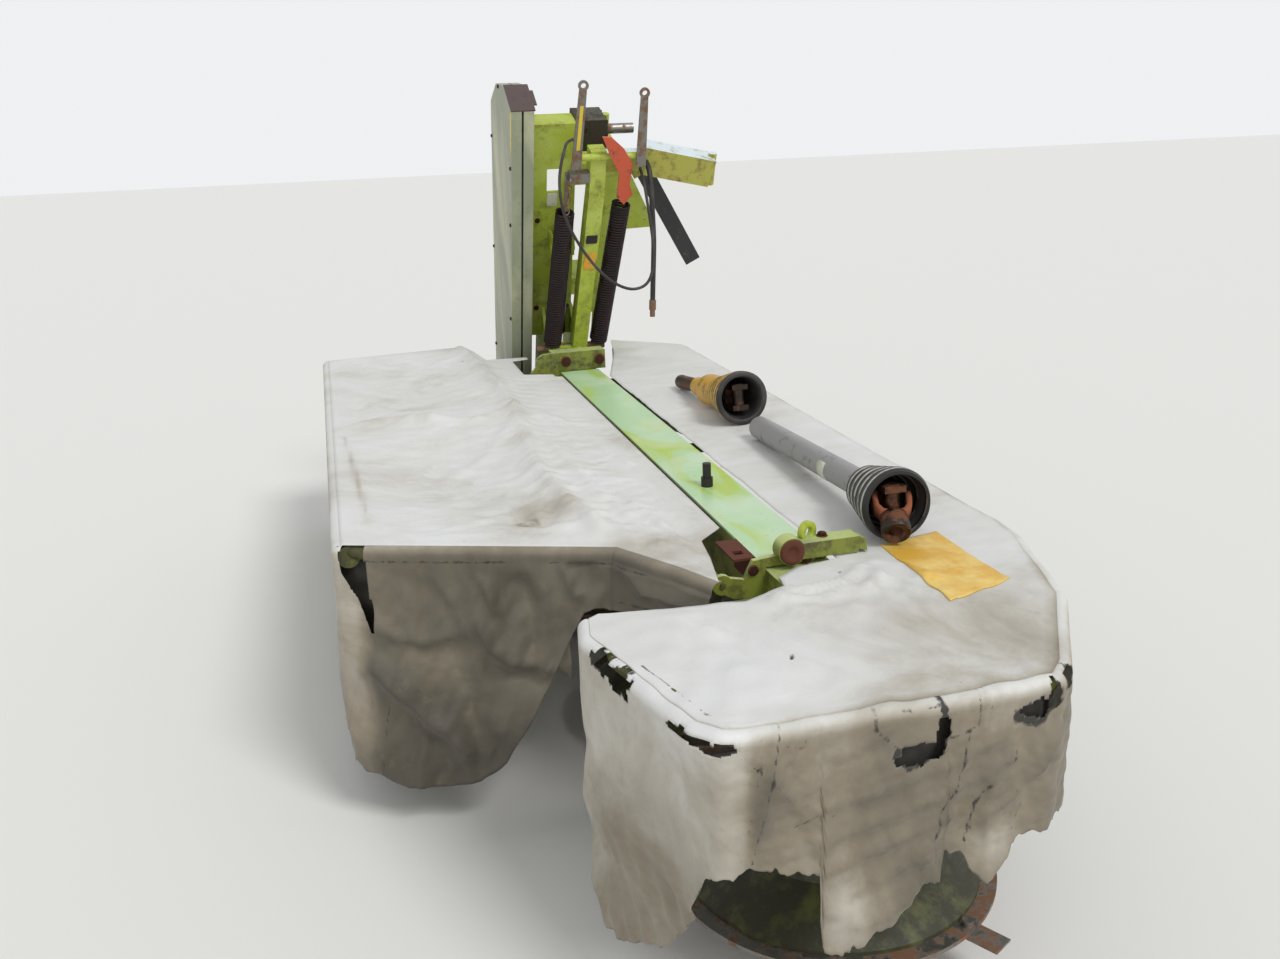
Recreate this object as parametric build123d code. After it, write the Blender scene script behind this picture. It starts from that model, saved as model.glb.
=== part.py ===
"""Rear-mounted drum mower with four drums under canvas guards, parked with its hitch arm folded up."""

import math
import os

from build123d import *

# The frame: +X is the direction of travel, +Y runs along the cutter bar from its outer end to the hitch,
# +Z is up, and the floor is at Z = 0.

# Cutter bar
BAR_X = 155
BEAM_WIDTH = 134
BEAM_BOTTOM = 540
BEAM_TOP = 660
COVER_PLATE = 5
DRUM_PITCH = 770
OUTER_DRUM_Y = -1285
DRUM_Y = [OUTER_DRUM_Y + DRUM_PITCH * k for k in range(4)]
INNER_DRUM_Y = DRUM_Y[-1]
BEAM_ENDS = (OUTER_DRUM_Y - 110, INNER_DRUM_Y + 105)

# Cutting units
HUB_RADIUS = 95
HUB_BOTTOM = 500
AXLE_RADIUS = 40
SPIGOT_RADIUS = 25
RUNNING_FIT = 0.05
DRUM_TOP = 494
DRUM_TOP_RADIUS = 150
DRUM_WAIST_Z = 260
SKIRT_RADIUS = 285
SKIRT_Z = 112
DRUM_WALL = 5
RIB_COUNT = 4
RING_RADIUS = 315
RING_Z = (96, 104)
KNIFE_TIP_RADIUS = 375
KNIFE_WIDTH = 48
KNIFE_THICKNESS = 4
KNIFE_COUNT = 3
SKID_RADIUS = 262
SKID_FLAT_RADIUS = 175
SKID_HEIGHT = 78
SKID_WALL = 8

# Guards
CANVAS_UNDER = BEAM_TOP + 1
CANVAS_SHEET = 5
CANVAS_WALL = 6
GUARD_TUBE = 17
TUBE_Z = CANVAS_UNDER - GUARD_TUBE
REAR_HINGE_X = 0
REAR_HINGE_Z = 634
HINGE_LOBE_RADIUS = 20
HINGE_RAIL_RADIUS = 9
HINGE_PIN_RADIUS = 6
REAR_GUARD_X = -718
REAR_GUARD_Y = (-722, INNER_DRUM_Y + 411)
REAR_HEM_Z = 120
REAR_MOUTH_Z = 480
RELIEF_X = (-655, -440, -270, -95)
OUTER_GUARD_X = 640
OUTER_GUARD_Y = -1720
OUTER_HEM_Z = 300

# Brackets
PLATE = 12
NEAR_BRACKET_Y = -1120
FAR_BRACKET_Y = INNER_DRUM_Y - 170
FAR_BRACKET_END = INNER_DRUM_Y + 63
FAR_BRACKET_TOP = 726

# Folded hitch arm: it turns about a pin along X at the inner end of the bar, and parks leaning over the bar
PIVOT_Y = INNER_DRUM_Y + 425
PIVOT_Z = 470
ARM_LEAN = 23
PIVOT_RADIUS = 20
FORK_GAP = (134, 190)
FORK_PLATE = 15
ARM_GAP = (114, 210)
ARM_PLATE = 12
CYLINDER_X = 162
ROD_PIN = (PIVOT_Y - 100, 520)
BARREL_PIN = (-120, 700)
BARREL_PIN_RADIUS = 13
BARREL_RADIUS = 25
BARREL_LENGTH = 340
ROD_RADIUS = 14
ROD_END = 70
CARRIER_X = (65, 215)
CARRIER_V = (-60, 30)
CARRIER_TOP = 1134
COVER_X = (-24, 52)
SEAM = 7
SPRING_RADIUS = 34
SPRING_V = -190
SPRING_COILS = 20
HEAD_BAR_A = 1080
LEG_SIDE = 58
LEG_LENGTH = 464
LEG_LEAN = 30.5
LEG_PIVOT = (440, -62, 990)

# Drive shaft halves
SHAFT_TUBE_RADIUS = 30
SHAFT_BELL_RADIUS = 74
SHAFT_BELL_LENGTH = 150
INPUT_SHAFT_RADIUS = 17.45
LINK_PIN_RADIUS = 14

# Hoses on the folded arm, as points of their routes
LOOP_HOSE_RADIUS = 5
LOOP_ROUTE = [
    (232, 966.2, 1468), (229, 922, 1449.5), (188, 862, 1442), (146, 806, 1434), (126, 752, 1412), (104, 738, 1350),
    (98, 738, 1290), (106, 740, 1215), (136, 741, 1138), (182, 742, 1061), (238, 745, 993), (292, 748, 955),
    (342, 750, 940), (390, 756, 954), (414, 764, 1000), (420, 768, 1070), (414, 770, 1145), (406, 776, 1220),
    (402, 792, 1284), (404, 828, 1314), (408, 852, 1326), (410, 873.4, 1335)]
HANGING_HOSE_RADIUS = 9
HANGING_ROUTE = [
    (430, 864.9, 1355.5), (430, 832, 1341.6), (429, 810, 1296), (429, 806, 1233), (431, 806, 1165), (432, 806, 1097),
    (429, 808, 1029), (425, 810, 961), (422, 812, 892)]

# The middle of the footprint goes to the origin
FRAME_SHIFT = (9, 21)

PARTS = {}


def block(x, y, z):
    """A box from three (low, high) pairs."""
    sizes = [high - low for low, high in (x, y, z)]
    middle = [(low + high) / 2 for low, high in (x, y, z)]
    return Pos(*middle) * Box(*sizes)


def plate_yz(points, x):
    """A plate from an outline in Y and Z, between two X values."""
    face = Plane.YZ.offset(x[0]) * Polygon(*points, align=None)
    return extrude(face, x[1] - x[0], dir=(1, 0, 0))


def plate_xz(points, y):
    """A plate from an outline in X and Z, between two Y values."""
    face = Plane.XZ.offset(-y[0]) * Polygon(*points, align=None)
    return extrude(face, y[1] - y[0], dir=(0, 1, 0))


def plate_xy(face, z):
    """A plate from a flat face, between two Z values."""
    return extrude(Pos(0, 0, z[0]) * face, z[1] - z[0], dir=(0, 0, 1))


def rounded_outline(corners):
    """A flat face from rows of x, y and corner radius."""
    face = Polygon(*[(x, y) for x, y, radius in corners], align=None)
    for x, y, radius in corners:
        if radius:
            corner = face.vertices().sort_by_distance((x, y, 0))[0]
            face = fillet(corner, radius)
    return face


def bar_between(start, end, radius):
    """A round bar between two points."""
    axis = Vector(*end) - Vector(*start)
    return Plane(origin=start, z_dir=axis) * Cylinder(
        radius, axis.length, align=(Align.CENTER, Align.CENTER, Align.MIN))


def turned(profile):
    """A body of revolution about Z from an outline in radius and height."""
    return revolve(Plane.XZ * Polygon(*profile, align=None), Axis.Z)


def bent_tube(points, bend, radius):
    """A tube along straight runs joined by arcs."""
    path = FilletPolyline(*points, radius=bend)
    return sweep(Plane(origin=path @ 0, z_dir=path % 0) * Circle(radius), path=path)


def folded_sheet(rows, bottom, thickness):
    """A sheet of flat triangles through rows of points, each point's third value being its rise."""

    def triangle(*corners):
        return Face(Wire.make_polygon(corners, close=True))

    under = [[Vector(x, y, bottom + rise) for x, y, rise in row] for row in rows]
    over = [[point + Vector(0, 0, thickness) for point in row] for row in under]
    faces = []
    for level in (under, over):
        for near, far in zip(level, level[1:]):
            for k in range(len(near) - 1):
                faces += [triangle(near[k], near[k + 1], far[k]), triangle(near[k + 1], far[k + 1], far[k])]
    for low, high in (
        (under[0], over[0]),
        (under[-1], over[-1]),
        ([row[0] for row in under], [row[0] for row in over]),
        ([row[-1] for row in under], [row[-1] for row in over]),
    ):
        for k in range(len(low) - 1):
            faces += [triangle(low[k], low[k + 1], high[k]), triangle(low[k + 1], high[k + 1], high[k])]
    return Solid(Shell(faces))


def on_arm(shape):
    """Place a shape drawn on the upright arm, with the pivot as its origin, at the parked lean."""
    return Pos(0, PIVOT_Y, PIVOT_Z) * Rot(ARM_LEAN, 0, 0) * shape


def cutter_beam():
    """The gear beam, with a hub, an axle tube and a spigot under it at each drum."""
    beam = block((BAR_X - BEAM_WIDTH / 2, BAR_X + BEAM_WIDTH / 2), BEAM_ENDS, (BEAM_BOTTOM, BEAM_TOP - COVER_PLATE))
    for y in DRUM_Y:
        for radius, bottom, top in (
            (HUB_RADIUS, HUB_BOTTOM, BEAM_BOTTOM + 10),
            (AXLE_RADIUS, 140, HUB_BOTTOM),
            (SPIGOT_RADIUS, 40, 140),
        ):
            beam += bar_between((BAR_X, y, bottom), (BAR_X, y, top), radius)
    PARTS["gear_beam"] = beam
    PARTS["beam_top_plate"] = block(
        (BAR_X - BEAM_WIDTH / 2, BAR_X + BEAM_WIDTH / 2), (NEAR_BRACKET_Y + 12, FAR_BRACKET_Y - 10),
        (BEAM_TOP - COVER_PLATE, BEAM_TOP))
    PARTS["filler_plug"] = (
        bar_between((146, -601, BEAM_TOP), (146, -601, BEAM_TOP + 22), 14)
        + bar_between((146, -601, BEAM_TOP + 22), (146, -601, BEAM_TOP + 56), 10))


def drum(y):
    """A drum shell with a flared skirt, upright ribs and a hub that runs on the axle tube."""
    bore = AXLE_RADIUS + RUNNING_FIT
    shell = turned([
        (bore, DRUM_TOP - 60), (bore + 14, DRUM_TOP - 60), (bore + 14, DRUM_TOP - DRUM_WALL),
        (DRUM_TOP_RADIUS - DRUM_WALL, DRUM_TOP - DRUM_WALL), (DRUM_TOP_RADIUS - DRUM_WALL, DRUM_WAIST_Z),
        (DRUM_TOP_RADIUS + 35, SKIRT_Z + 60), (SKIRT_RADIUS - 10, SKIRT_Z - 8), (SKIRT_RADIUS, SKIRT_Z - 8),
        (SKIRT_RADIUS, SKIRT_Z), (DRUM_TOP_RADIUS + 40, SKIRT_Z + 66), (DRUM_TOP_RADIUS, DRUM_WAIST_Z),
        (DRUM_TOP_RADIUS, DRUM_TOP), (bore, DRUM_TOP)])
    rib = plate_xz([
        (DRUM_TOP_RADIUS - 2, 470), (DRUM_TOP_RADIUS + 10, 440), (DRUM_TOP_RADIUS + 14, DRUM_WAIST_Z + 6),
        (DRUM_TOP_RADIUS + 46, SKIRT_Z + 76), (DRUM_TOP_RADIUS + 52, SKIRT_Z + 55),
        (DRUM_TOP_RADIUS + 36, SKIRT_Z + 68), (DRUM_TOP_RADIUS - 2, DRUM_WAIST_Z)], (-4, 4))
    for k in range(RIB_COUNT):
        shell += Rot(0, 0, 360 / RIB_COUNT * k) * rib
    return Pos(BAR_X, y, 0) * shell


def knife_ring(y, turn):
    """The ring under a drum's skirt with its knives, which hang below it."""
    ring = turned([
        (SKIRT_RADIUS - 60, RING_Z[0]), (RING_RADIUS, RING_Z[0]), (RING_RADIUS, RING_Z[1]),
        (SKIRT_RADIUS - 60, RING_Z[1])])
    knife = block(
        (RING_RADIUS - 52, KNIFE_TIP_RADIUS - 4), (-KNIFE_WIDTH / 2, KNIFE_WIDTH / 2),
        (RING_Z[0] - KNIFE_THICKNESS, RING_Z[0]))
    bolt = bar_between((RING_RADIUS - 14, 0, RING_Z[1]), (RING_RADIUS - 14, 0, RING_Z[1] + 10), 10)
    for k in range(KNIFE_COUNT):
        ring += Rot(0, 0, 360 / KNIFE_COUNT * k + turn) * (knife + bolt)
    return Pos(BAR_X, y, 0) * ring


def skid(y):
    """The saucer that the mower rests on, with a hub for the axle's spigot."""
    bore = SPIGOT_RADIUS + RUNNING_FIT
    dish = turned([
        (0, 0), (SKID_FLAT_RADIUS, 0), (SKID_RADIUS - 20, 40), (SKID_RADIUS, SKID_HEIGHT - 6),
        (SKID_RADIUS, SKID_HEIGHT), (SKID_RADIUS - 10, SKID_HEIGHT), (SKID_RADIUS - 30, 42 + SKID_WALL),
        (SKID_FLAT_RADIUS - 4, SKID_WALL), (60, SKID_WALL), (60, 30), (45, 60), (45, 130),
        (bore, 130), (bore, 39), (0, 39)])
    return Pos(BAR_X, y, 0) * dish


def cutting_units():
    """Four drums with their knife rings and skids; neighbours turn opposite ways with their knives offset."""
    for k, y in enumerate(DRUM_Y, start=1):
        PARTS[f"drum_{k}"] = drum(y)
        PARTS[f"knife_ring_{k}"] = knife_ring(y, 60 * (k % 2))
        PARTS[f"skid_{k}"] = skid(y)


def brackets():
    """The two cross brackets on the beam and what is bolted to the near one."""
    side = BAR_X - BEAM_WIDTH / 2
    lobe = Pos(REAR_HINGE_X, 0, REAR_HINGE_Z) * Rot(90, 0, 0)
    pin_hole = lobe * Cylinder(HINGE_PIN_RADIUS + RUNNING_FIT, 4000)
    near = plate_xz([
        (0, 616), (20, 604), (96, 590), (150, 606), (190, 664), (190, 676), (150, 684), (62, 676), (44, 640),
        (0, 650)], (NEAR_BRACKET_Y - PLATE, NEAR_BRACKET_Y))
    near += Pos(0, NEAR_BRACKET_Y - PLATE / 2, 0) * lobe * Cylinder(HINGE_LOBE_RADIUS, PLATE)
    near -= block((side, side + BEAM_WIDTH), (-1200, -1000), (500, BEAM_TOP))
    near += block((92, 218), (NEAR_BRACKET_Y - 2, NEAR_BRACKET_Y + 12), (BEAM_TOP, BEAM_TOP + 8))
    near += block((110, 156), (NEAR_BRACKET_Y - PLATE, NEAR_BRACKET_Y), (664, 700))
    near += bar_between((133, NEAR_BRACKET_Y - PLATE - 22, 692), (133, NEAR_BRACKET_Y, 692), 27)
    PARTS["near_bracket"] = near - pin_hole
    face = NEAR_BRACKET_Y - PLATE
    arm = block((161, 278), (face - 8, face), (669, 694))
    arm += block((161, 278), (face - 8, face + 34), (694, 701))
    arm += plate_xz([(278, 676), (278, 701), (292, 694), (296, 668)], (face - 8, face + 20))
    PARTS["guard_arm"] = arm
    eye = Pos(232, NEAR_BRACKET_Y + 10, 741) * Rot(0, 90, 0) * Torus(26, 4.5)
    PARTS["lifting_eye"] = eye + block((226, 238), (NEAR_BRACKET_Y + 3, NEAR_BRACKET_Y + 17), (701, 719))
    latch = block((42, side), (-1075, -965), (655, 660))
    latch -= block((54, 74), (-1050, -1030), (650, 665))
    latch += block((side - 6, side), (-1075, -965), (600, 655))
    PARTS["latch_plate"] = latch

    face = FAR_BRACKET_Y
    top = FAR_BRACKET_TOP
    far = block((60, 250), (face, FAR_BRACKET_END), (BEAM_TOP, BEAM_TOP + PLATE))
    far += block((64, 252), (face, face + PLATE), (BEAM_TOP + 3, top))
    far += block((64, 252), (face, face + 70), (top - 8, top))
    for x in ((64, 76), (240, 252)):
        far += plate_yz([(face, BEAM_TOP), (face, top), (face + 60, top), (face + 120, BEAM_TOP)], x)
    far += plate_xz([
        (-20, 624), (4, 612), (88, 600), (88, top), (28, top - 2), (11, top - 12), (4, 700), (4, 684), (-4, 675),
        (-14, 664), (-20, 646)], (face, face + PLATE))
    far += Pos(0, face + PLATE / 2, 0) * lobe * Cylinder(HINGE_LOBE_RADIUS, PLATE)
    far -= block((side, side + BEAM_WIDTH), (face - 100, BEAM_ENDS[1]), (500, BEAM_TOP))
    for x in (108, 228):
        far += bar_between((x, face - 14, 696), (x, face + 2, 696), 13)
    PARTS["far_bracket"] = far - pin_hole


def hinge_fork():
    """Two plates that carry the hitch arm's pin beyond the inner drum."""
    end = BEAM_ENDS[1]
    outline = [
        (end, 545), (end, 636), (end + 110, 640), (end + 180, 616), (PIVOT_Y + 30, PIVOT_Z + 42),
        (PIVOT_Y + 40, PIVOT_Z), (PIVOT_Y + 22, PIVOT_Z - 40), (PIVOT_Y - 30, PIVOT_Z - 46), (end + 110, 490)]
    fork = block((FORK_GAP[0] - FORK_PLATE, FORK_GAP[1] + FORK_PLATE), (end, end + 40), (545, 600))
    for x in ((FORK_GAP[0] - FORK_PLATE, FORK_GAP[0]), (FORK_GAP[1], FORK_GAP[1] + FORK_PLATE)):
        fork += plate_yz(outline, x)
    fork += bar_between((94, PIVOT_Y, PIVOT_Z), (230, PIVOT_Y, PIVOT_Z), PIVOT_RADIUS)
    PARTS["hinge_fork"] = fork


def rear_guard():
    """The guard behind the bar: a tube frame that turns on a rail beside the beam, its canvas and curtains."""
    left = REAR_GUARD_X
    near, far = REAR_GUARD_Y
    step = FAR_BRACKET_Y
    frame = bent_tube([
        (-4, step - 75, REAR_HINGE_Z), (-66, step - 5, TUBE_Z), (-70, step + 235, TUBE_Z),
        (-160, step + 305, TUBE_Z), (-200, far + 4, TUBE_Z), (left + 30, far - 24, TUBE_Z), (left + 30, near + 24, TUBE_Z),
        (-190, near - 182, TUBE_Z), (-4, -900, REAR_HINGE_Z)], 40, GUARD_TUBE)
    for low, high, radius in (
        (NEAR_BRACKET_Y + 6, FAR_BRACKET_Y - 6, HINGE_RAIL_RADIUS),
        (NEAR_BRACKET_Y - PLATE - 4, FAR_BRACKET_Y + PLATE + 4, HINGE_PIN_RADIUS),
    ):
        frame += bar_between(
            (REAR_HINGE_X, low, REAR_HINGE_Z), (REAR_HINGE_X, high, REAR_HINGE_Z), radius)
    frame += bar_between((REAR_HINGE_X, 240, REAR_HINGE_Z), (left + 30, 240, TUBE_Z), 13)
    frame += bar_between((left + 34, near + 8, TUBE_Z - 9), (left + 34, near + 70, TUBE_Z - 9), 24)
    PARTS["rear_guard_frame"] = frame

    skin = Polygon(
        (left, near), (left, far), (-176, far + 60), (-128, far - 136), (-128, step + 303), (20, step + 295),
        (20, step + 253), (-44, step + 235), (-44, step - 35), (54, step - 65), (54, step - 103), (76, step - 103),
        (76, -900), (14, -960), (0, -1060), (-24, -1180), (-165, -945), align=None)
    inner = offset(skin, -CANVAS_WALL, kind=Kind.INTERSECTION)
    top = plate_xy(skin, (CANVAS_UNDER, CANVAS_UNDER + CANVAS_SHEET))
    low_x, dip_x, foot_x, high_x = RELIEF_X
    rows = []
    for y, ridge_x, dip, foot, ridge in (
        (-700, -190, 0, 0, 0),
        (-260, -204, -30, -6, 20),
        (280, -167, 4, 4, 22),
        (step - 55, -163, -24, -4, 20),
        (step + 295, -180, 0, 0, 0),
    ):
        rows.append([(low_x, y, 0), (dip_x, y, dip), (foot_x, y, foot), (ridge_x, y, ridge), (high_x, y, 0)])
    top -= block((low_x, high_x), (rows[0][0][1], rows[-1][0][1]), (CANVAS_UNDER, CANVAS_UNDER + CANVAS_SHEET))
    top += folded_sheet(rows, CANVAS_UNDER, CANVAS_SHEET)
    wall = plate_xy(skin - inner, (REAR_HEM_Z, CANVAS_UNDER))
    wall -= block((-170, 200), (step + 145, far + 200), (0, CANVAS_UNDER))
    wall -= block((-50, 200), (-1400, far + 200), (0, CANVAS_UNDER))
    wall -= block((-212, 200), (-1400, -700), (0, REAR_MOUTH_Z))
    side = block((left, left + CANVAS_WALL), (near - 10, far + 10), (REAR_HEM_Z, CANVAS_UNDER))
    PARTS["rear_canvas"] = top
    PARTS["rear_side_curtain"] = wall & side
    PARTS["rear_near_curtain"] = (wall - side) & block((left, 0), (-1400, 0), (0, CANVAS_UNDER))
    PARTS["rear_far_curtain"] = (wall - side) & block((left, 0), (0, far + 200), (0, CANVAS_UNDER))


def outer_guard():
    """The guard in front of the bar and round the outer drum, which is bolted in place."""
    right, outer = OUTER_GUARD_X, OUTER_GUARD_Y
    step = FAR_BRACKET_Y
    side = BAR_X + BEAM_WIDTH / 2
    frame = bent_tube([
        (262, 700, TUBE_Z), (350, step + 225, TUBE_Z), (406, step + 461, TUBE_Z), (right - 24, step + 255, TUBE_Z),
        (right - 25, outer + 592, TUBE_Z), (right - 140, outer + 287, TUBE_Z), (right - 312, outer + 28, TUBE_Z),
        (-184, outer + 36, TUBE_Z), (-270, -1400, TUBE_Z), (-258, -1270, TUBE_Z), (30, -1270, TUBE_Z),
        ], 36, GUARD_TUBE)
    for y in (-1000, -200, 700):
        frame += bar_between((side, y, TUBE_Z - 6), (right - 24, y, TUBE_Z - 6), 14)
    frame += bar_between((BAR_X, BEAM_ENDS[0], TUBE_Z - 6), (BAR_X, outer + 26, TUBE_Z - 6), 14)
    PARTS["outer_guard_frame"] = frame

    skin = rounded_outline([
        (228, 690, 0), (318, step + 225, 60), (400, step + 521, 50), (right, step + 285, 90),
        (right, outer + 590, 200), (right - 110, outer + 270, 200), (right - 290, outer, 60), (-214, outer, 90),
        (-322, -1330, 60), (-300, -1242, 20), (-40, -1242, 0), (40, -1164, 30), (228, -1164, 30)])
    inner = offset(skin, -CANVAS_WALL)
    top = plate_xy(skin, (CANVAS_UNDER, CANVAS_UNDER + CANVAS_SHEET))
    wall = plate_xy(skin - inner, (OUTER_HEM_Z, CANVAS_UNDER))
    wall -= block((-280, 420), (-1300, step + 645), (0, CANVAS_UNDER))
    PARTS["outer_canvas"] = top + wall


def drive_shaft():
    """The two halves of the drive shaft, which lie on the outer guard."""
    rest = CANVAS_UNDER + CANVAS_SHEET + 0.3
    for name, low_end, bell_end, low_radius in (
        ("outer", (404, -273), (376, -1109), SHAFT_TUBE_RADIUS),
        ("inner", (392, 394), (412, -116), 22),
    ):
        start = Vector(*low_end, rest + low_radius)
        end = Vector(*bell_end, rest + SHAFT_BELL_RADIUS + 1.6)
        length = (end - start).length
        place = Plane(origin=start, z_dir=end - start)
        bell_start = length - SHAFT_BELL_LENGTH
        if name == "outer":
            PARTS["shaft_outer_tube"] = place * bar_between((0, 0, 0), (0, 0, bell_start), SHAFT_TUBE_RADIUS)
        else:
            PARTS["shaft_inner_tube"] = place * bar_between((0, 0, 0), (0, 0, 160), low_radius)
            PARTS["shaft_inner_sleeve"] = place * turned([
                (0, 160), (28, 160), (32, 200), (32, 250), (46, 262), (46, bell_start), (0, bell_start)])
        outside = []
        for k in range(5):
            z = bell_start + 30 * k
            radius = 44 + (SHAFT_BELL_RADIUS - 44) * (k + 1) / 5
            outside += [(radius - 7, z), (radius, z + 8), (radius, z + 20), (radius - 5, z + 30)]
        inside = [(radius - 6, z) for radius, z in outside[1:]]
        bell = turned([(0, bell_start)] + outside + inside[::-1] + [(30, bell_start + 12), (0, bell_start + 12)])
        PARTS[f"shaft_{name}_bell"] = place * bell
        yoke = bar_between((0, 0, bell_start + 12), (0, 0, bell_start + 72), 26)
        yoke += Pos(0, 0, bell_start + 103) * Box(72, 46, 70)
        yoke -= Pos(0, 0, bell_start + 112) * Box(44, 60, 60)
        yoke += Pos(0, 0, bell_start + 118) * Rot(0, 90, 0) * Cylinder(17, 76)
        PARTS[f"shaft_{name}_yoke"] = place * yoke


def hitch_arm():
    """The arm weldment: side plates on the pivot, a tapering beam, the channel behind it and the head."""
    side = [
        (46, 0), (30, -40), (-14, -46), (-60, -10), (-205, 290), (-232, 316), (-232, 332), (-150, 332), (-60, 420),
        (CARRIER_V[1], 420), (50, 60)]
    channel = block(CARRIER_X, CARRIER_V, (300, CARRIER_TOP))
    channel -= block((CARRIER_X[0] + 10, CARRIER_X[1] - 10), (CARRIER_V[0] + 10, 200), (0, CARRIER_TOP - 10))
    channel -= block((114, 160), (-100, 0), (888, 972))
    arm = channel
    for x in ((ARM_GAP[0] - ARM_PLATE, ARM_GAP[0]), (ARM_GAP[1], ARM_GAP[1] + ARM_PLATE)):
        arm += plate_yz(side, x)
    foot = Pos(219, SPRING_V + 5, 326) * Rectangle(54, 60)
    neck = Pos(257, SPRING_V + 5, 950) * Rectangle(54, 60)
    arm += loft([foot, neck])
    arm += block((230, 284), (SPRING_V - 25, SPRING_V + 35), (940, 1098))
    arm += block((205, 280), (SPRING_V + 20, CARRIER_V[0] + 5), (1000, 1018))
    arm += block((ARM_GAP[0], 246), (-212, -172), (326, 332))
    arm += bar_between((168, SPRING_V - 26, HEAD_BAR_A), (412, SPRING_V - 26, HEAD_BAR_A), 12)
    for a in (400, 1000):
        arm += block((COVER_X[1], CARRIER_X[0] + 5), (CARRIER_V[0] + 10, CARRIER_V[1]), (a, a + 60))
    v, a = BARREL_PIN
    for x in ((FORK_GAP[0] - 12, FORK_GAP[0] - 2), (FORK_GAP[1] + 2, FORK_GAP[1] + 12)):
        arm += block(x, (v - 22, CARRIER_V[0] + 5), (a - 22, a + 40))
    arm += bar_between((FORK_GAP[0] - 16, v, a), (FORK_GAP[1] + 16, v, a), BARREL_PIN_RADIUS)
    arm -= bar_between((60, 0, 0), (250, 0, 0), PIVOT_RADIUS + RUNNING_FIT)
    anchor = bar_between((60, SPRING_V, 320), (318, SPRING_V, 320), 14)
    PARTS["hitch_arm"] = on_arm(arm - anchor)
    PARTS["spring_anchor_bar"] = on_arm(anchor)


def fold_cylinder():
    """The cylinder that folds the arm: a barrel hung on the arm, and a rod whose eye sits in the fork."""
    upper = on_arm(Pos(CYLINDER_X, *BARREL_PIN)).position
    lower = Vector(CYLINDER_X, *ROD_PIN)
    place = Plane(origin=upper, x_dir=(1, 0, 0), z_dir=lower - upper)
    length = (lower - upper).length
    barrel = bar_between((0, 0, 30), (0, 0, 30 + BARREL_LENGTH), BARREL_RADIUS)
    barrel += block((-18, 18), (-20, 20), (0, 36)) + Rot(0, 90, 0) * Cylinder(20, 36)
    barrel -= Rot(0, 90, 0) * Cylinder(BARREL_PIN_RADIUS + RUNNING_FIT, 60)
    barrel -= bar_between((0, 0, 60), (0, 0, 600), ROD_RADIUS + RUNNING_FIT)
    PARTS["fold_cylinder_barrel"] = place * barrel
    rod = bar_between((0, 0, ROD_END), (0, 0, length - 14), ROD_RADIUS)
    rod += Pos(0, 0, length) * Rot(0, 90, 0) * Cylinder(24, 40)
    PARTS["fold_cylinder_rod"] = place * rod


def springs():
    """Two relief springs along the arm, with the straps and yoke that hold their upper ends."""
    for name, low, high in (
        ("rear", (119, SPRING_V, 335.3), (153, SPRING_V, 880)),
        ("front", (294, SPRING_V, 335.6), (352, SPRING_V, 900)),
    ):
        axis = Vector(*high) - Vector(*low)
        step = (axis.length - 70) / SPRING_COILS
        profile = [(0, 0), (11, 0), (11, 18)]
        for k in range(SPRING_COILS):
            z = 22 + step * k
            profile += [(SPRING_RADIUS - 6, z), (SPRING_RADIUS, z + step * 0.3), (SPRING_RADIUS, z + step * 0.7)]
        end = axis.length
        profile += [(SPRING_RADIUS - 6, end - 46), (11, end - 42), (11, end), (0, end)]
        PARTS[f"relief_spring_{name}"] = on_arm(Plane(origin=low, z_dir=axis) * turned(profile))
    yoke = block((160, 230), (SPRING_V - 30, SPRING_V + 10), (991, 1023))
    yoke += block((150, 160), (SPRING_V - 12, SPRING_V + 12), (880.3, 1016))
    PARTS["spring_yoke"] = on_arm(yoke)


def belt_cover():
    """The belt cover: two shells and a set-back core between them, with a dark cap on the upper end."""

    def outline(inset):
        return [
            (-137 + inset, -30), (-60, -70 + inset), (180, -70 + inset), (248 - inset, 0),
            (293 - inset, 1084 - inset), (176, 1190 - inset), (10, 1244 - inset), (-137 + inset, 1213 - inset)]

    middle = (COVER_X[0] + COVER_X[1]) / 2
    PARTS["belt_cover_rear"] = on_arm(plate_yz(outline(0), (COVER_X[0], middle - SEAM / 2)))
    PARTS["belt_cover_front"] = on_arm(plate_yz(outline(0), (middle + SEAM / 2, COVER_X[1])))
    PARTS["belt_cover_core"] = on_arm(plate_yz(outline(14), (middle - SEAM / 2, middle + SEAM / 2)))
    cap = plate_yz([(-137, 1213), (10, 1244), (9, 1248), (-138, 1217)], (COVER_X[0] - 2, COVER_X[1] + 4))
    cap += plate_yz([(-100, 1217), (-20, 1234), (-21, 1238), (-101, 1221)], (COVER_X[1], COVER_X[1] + 16))
    PARTS["belt_cover_cap"] = on_arm(cap)


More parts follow.
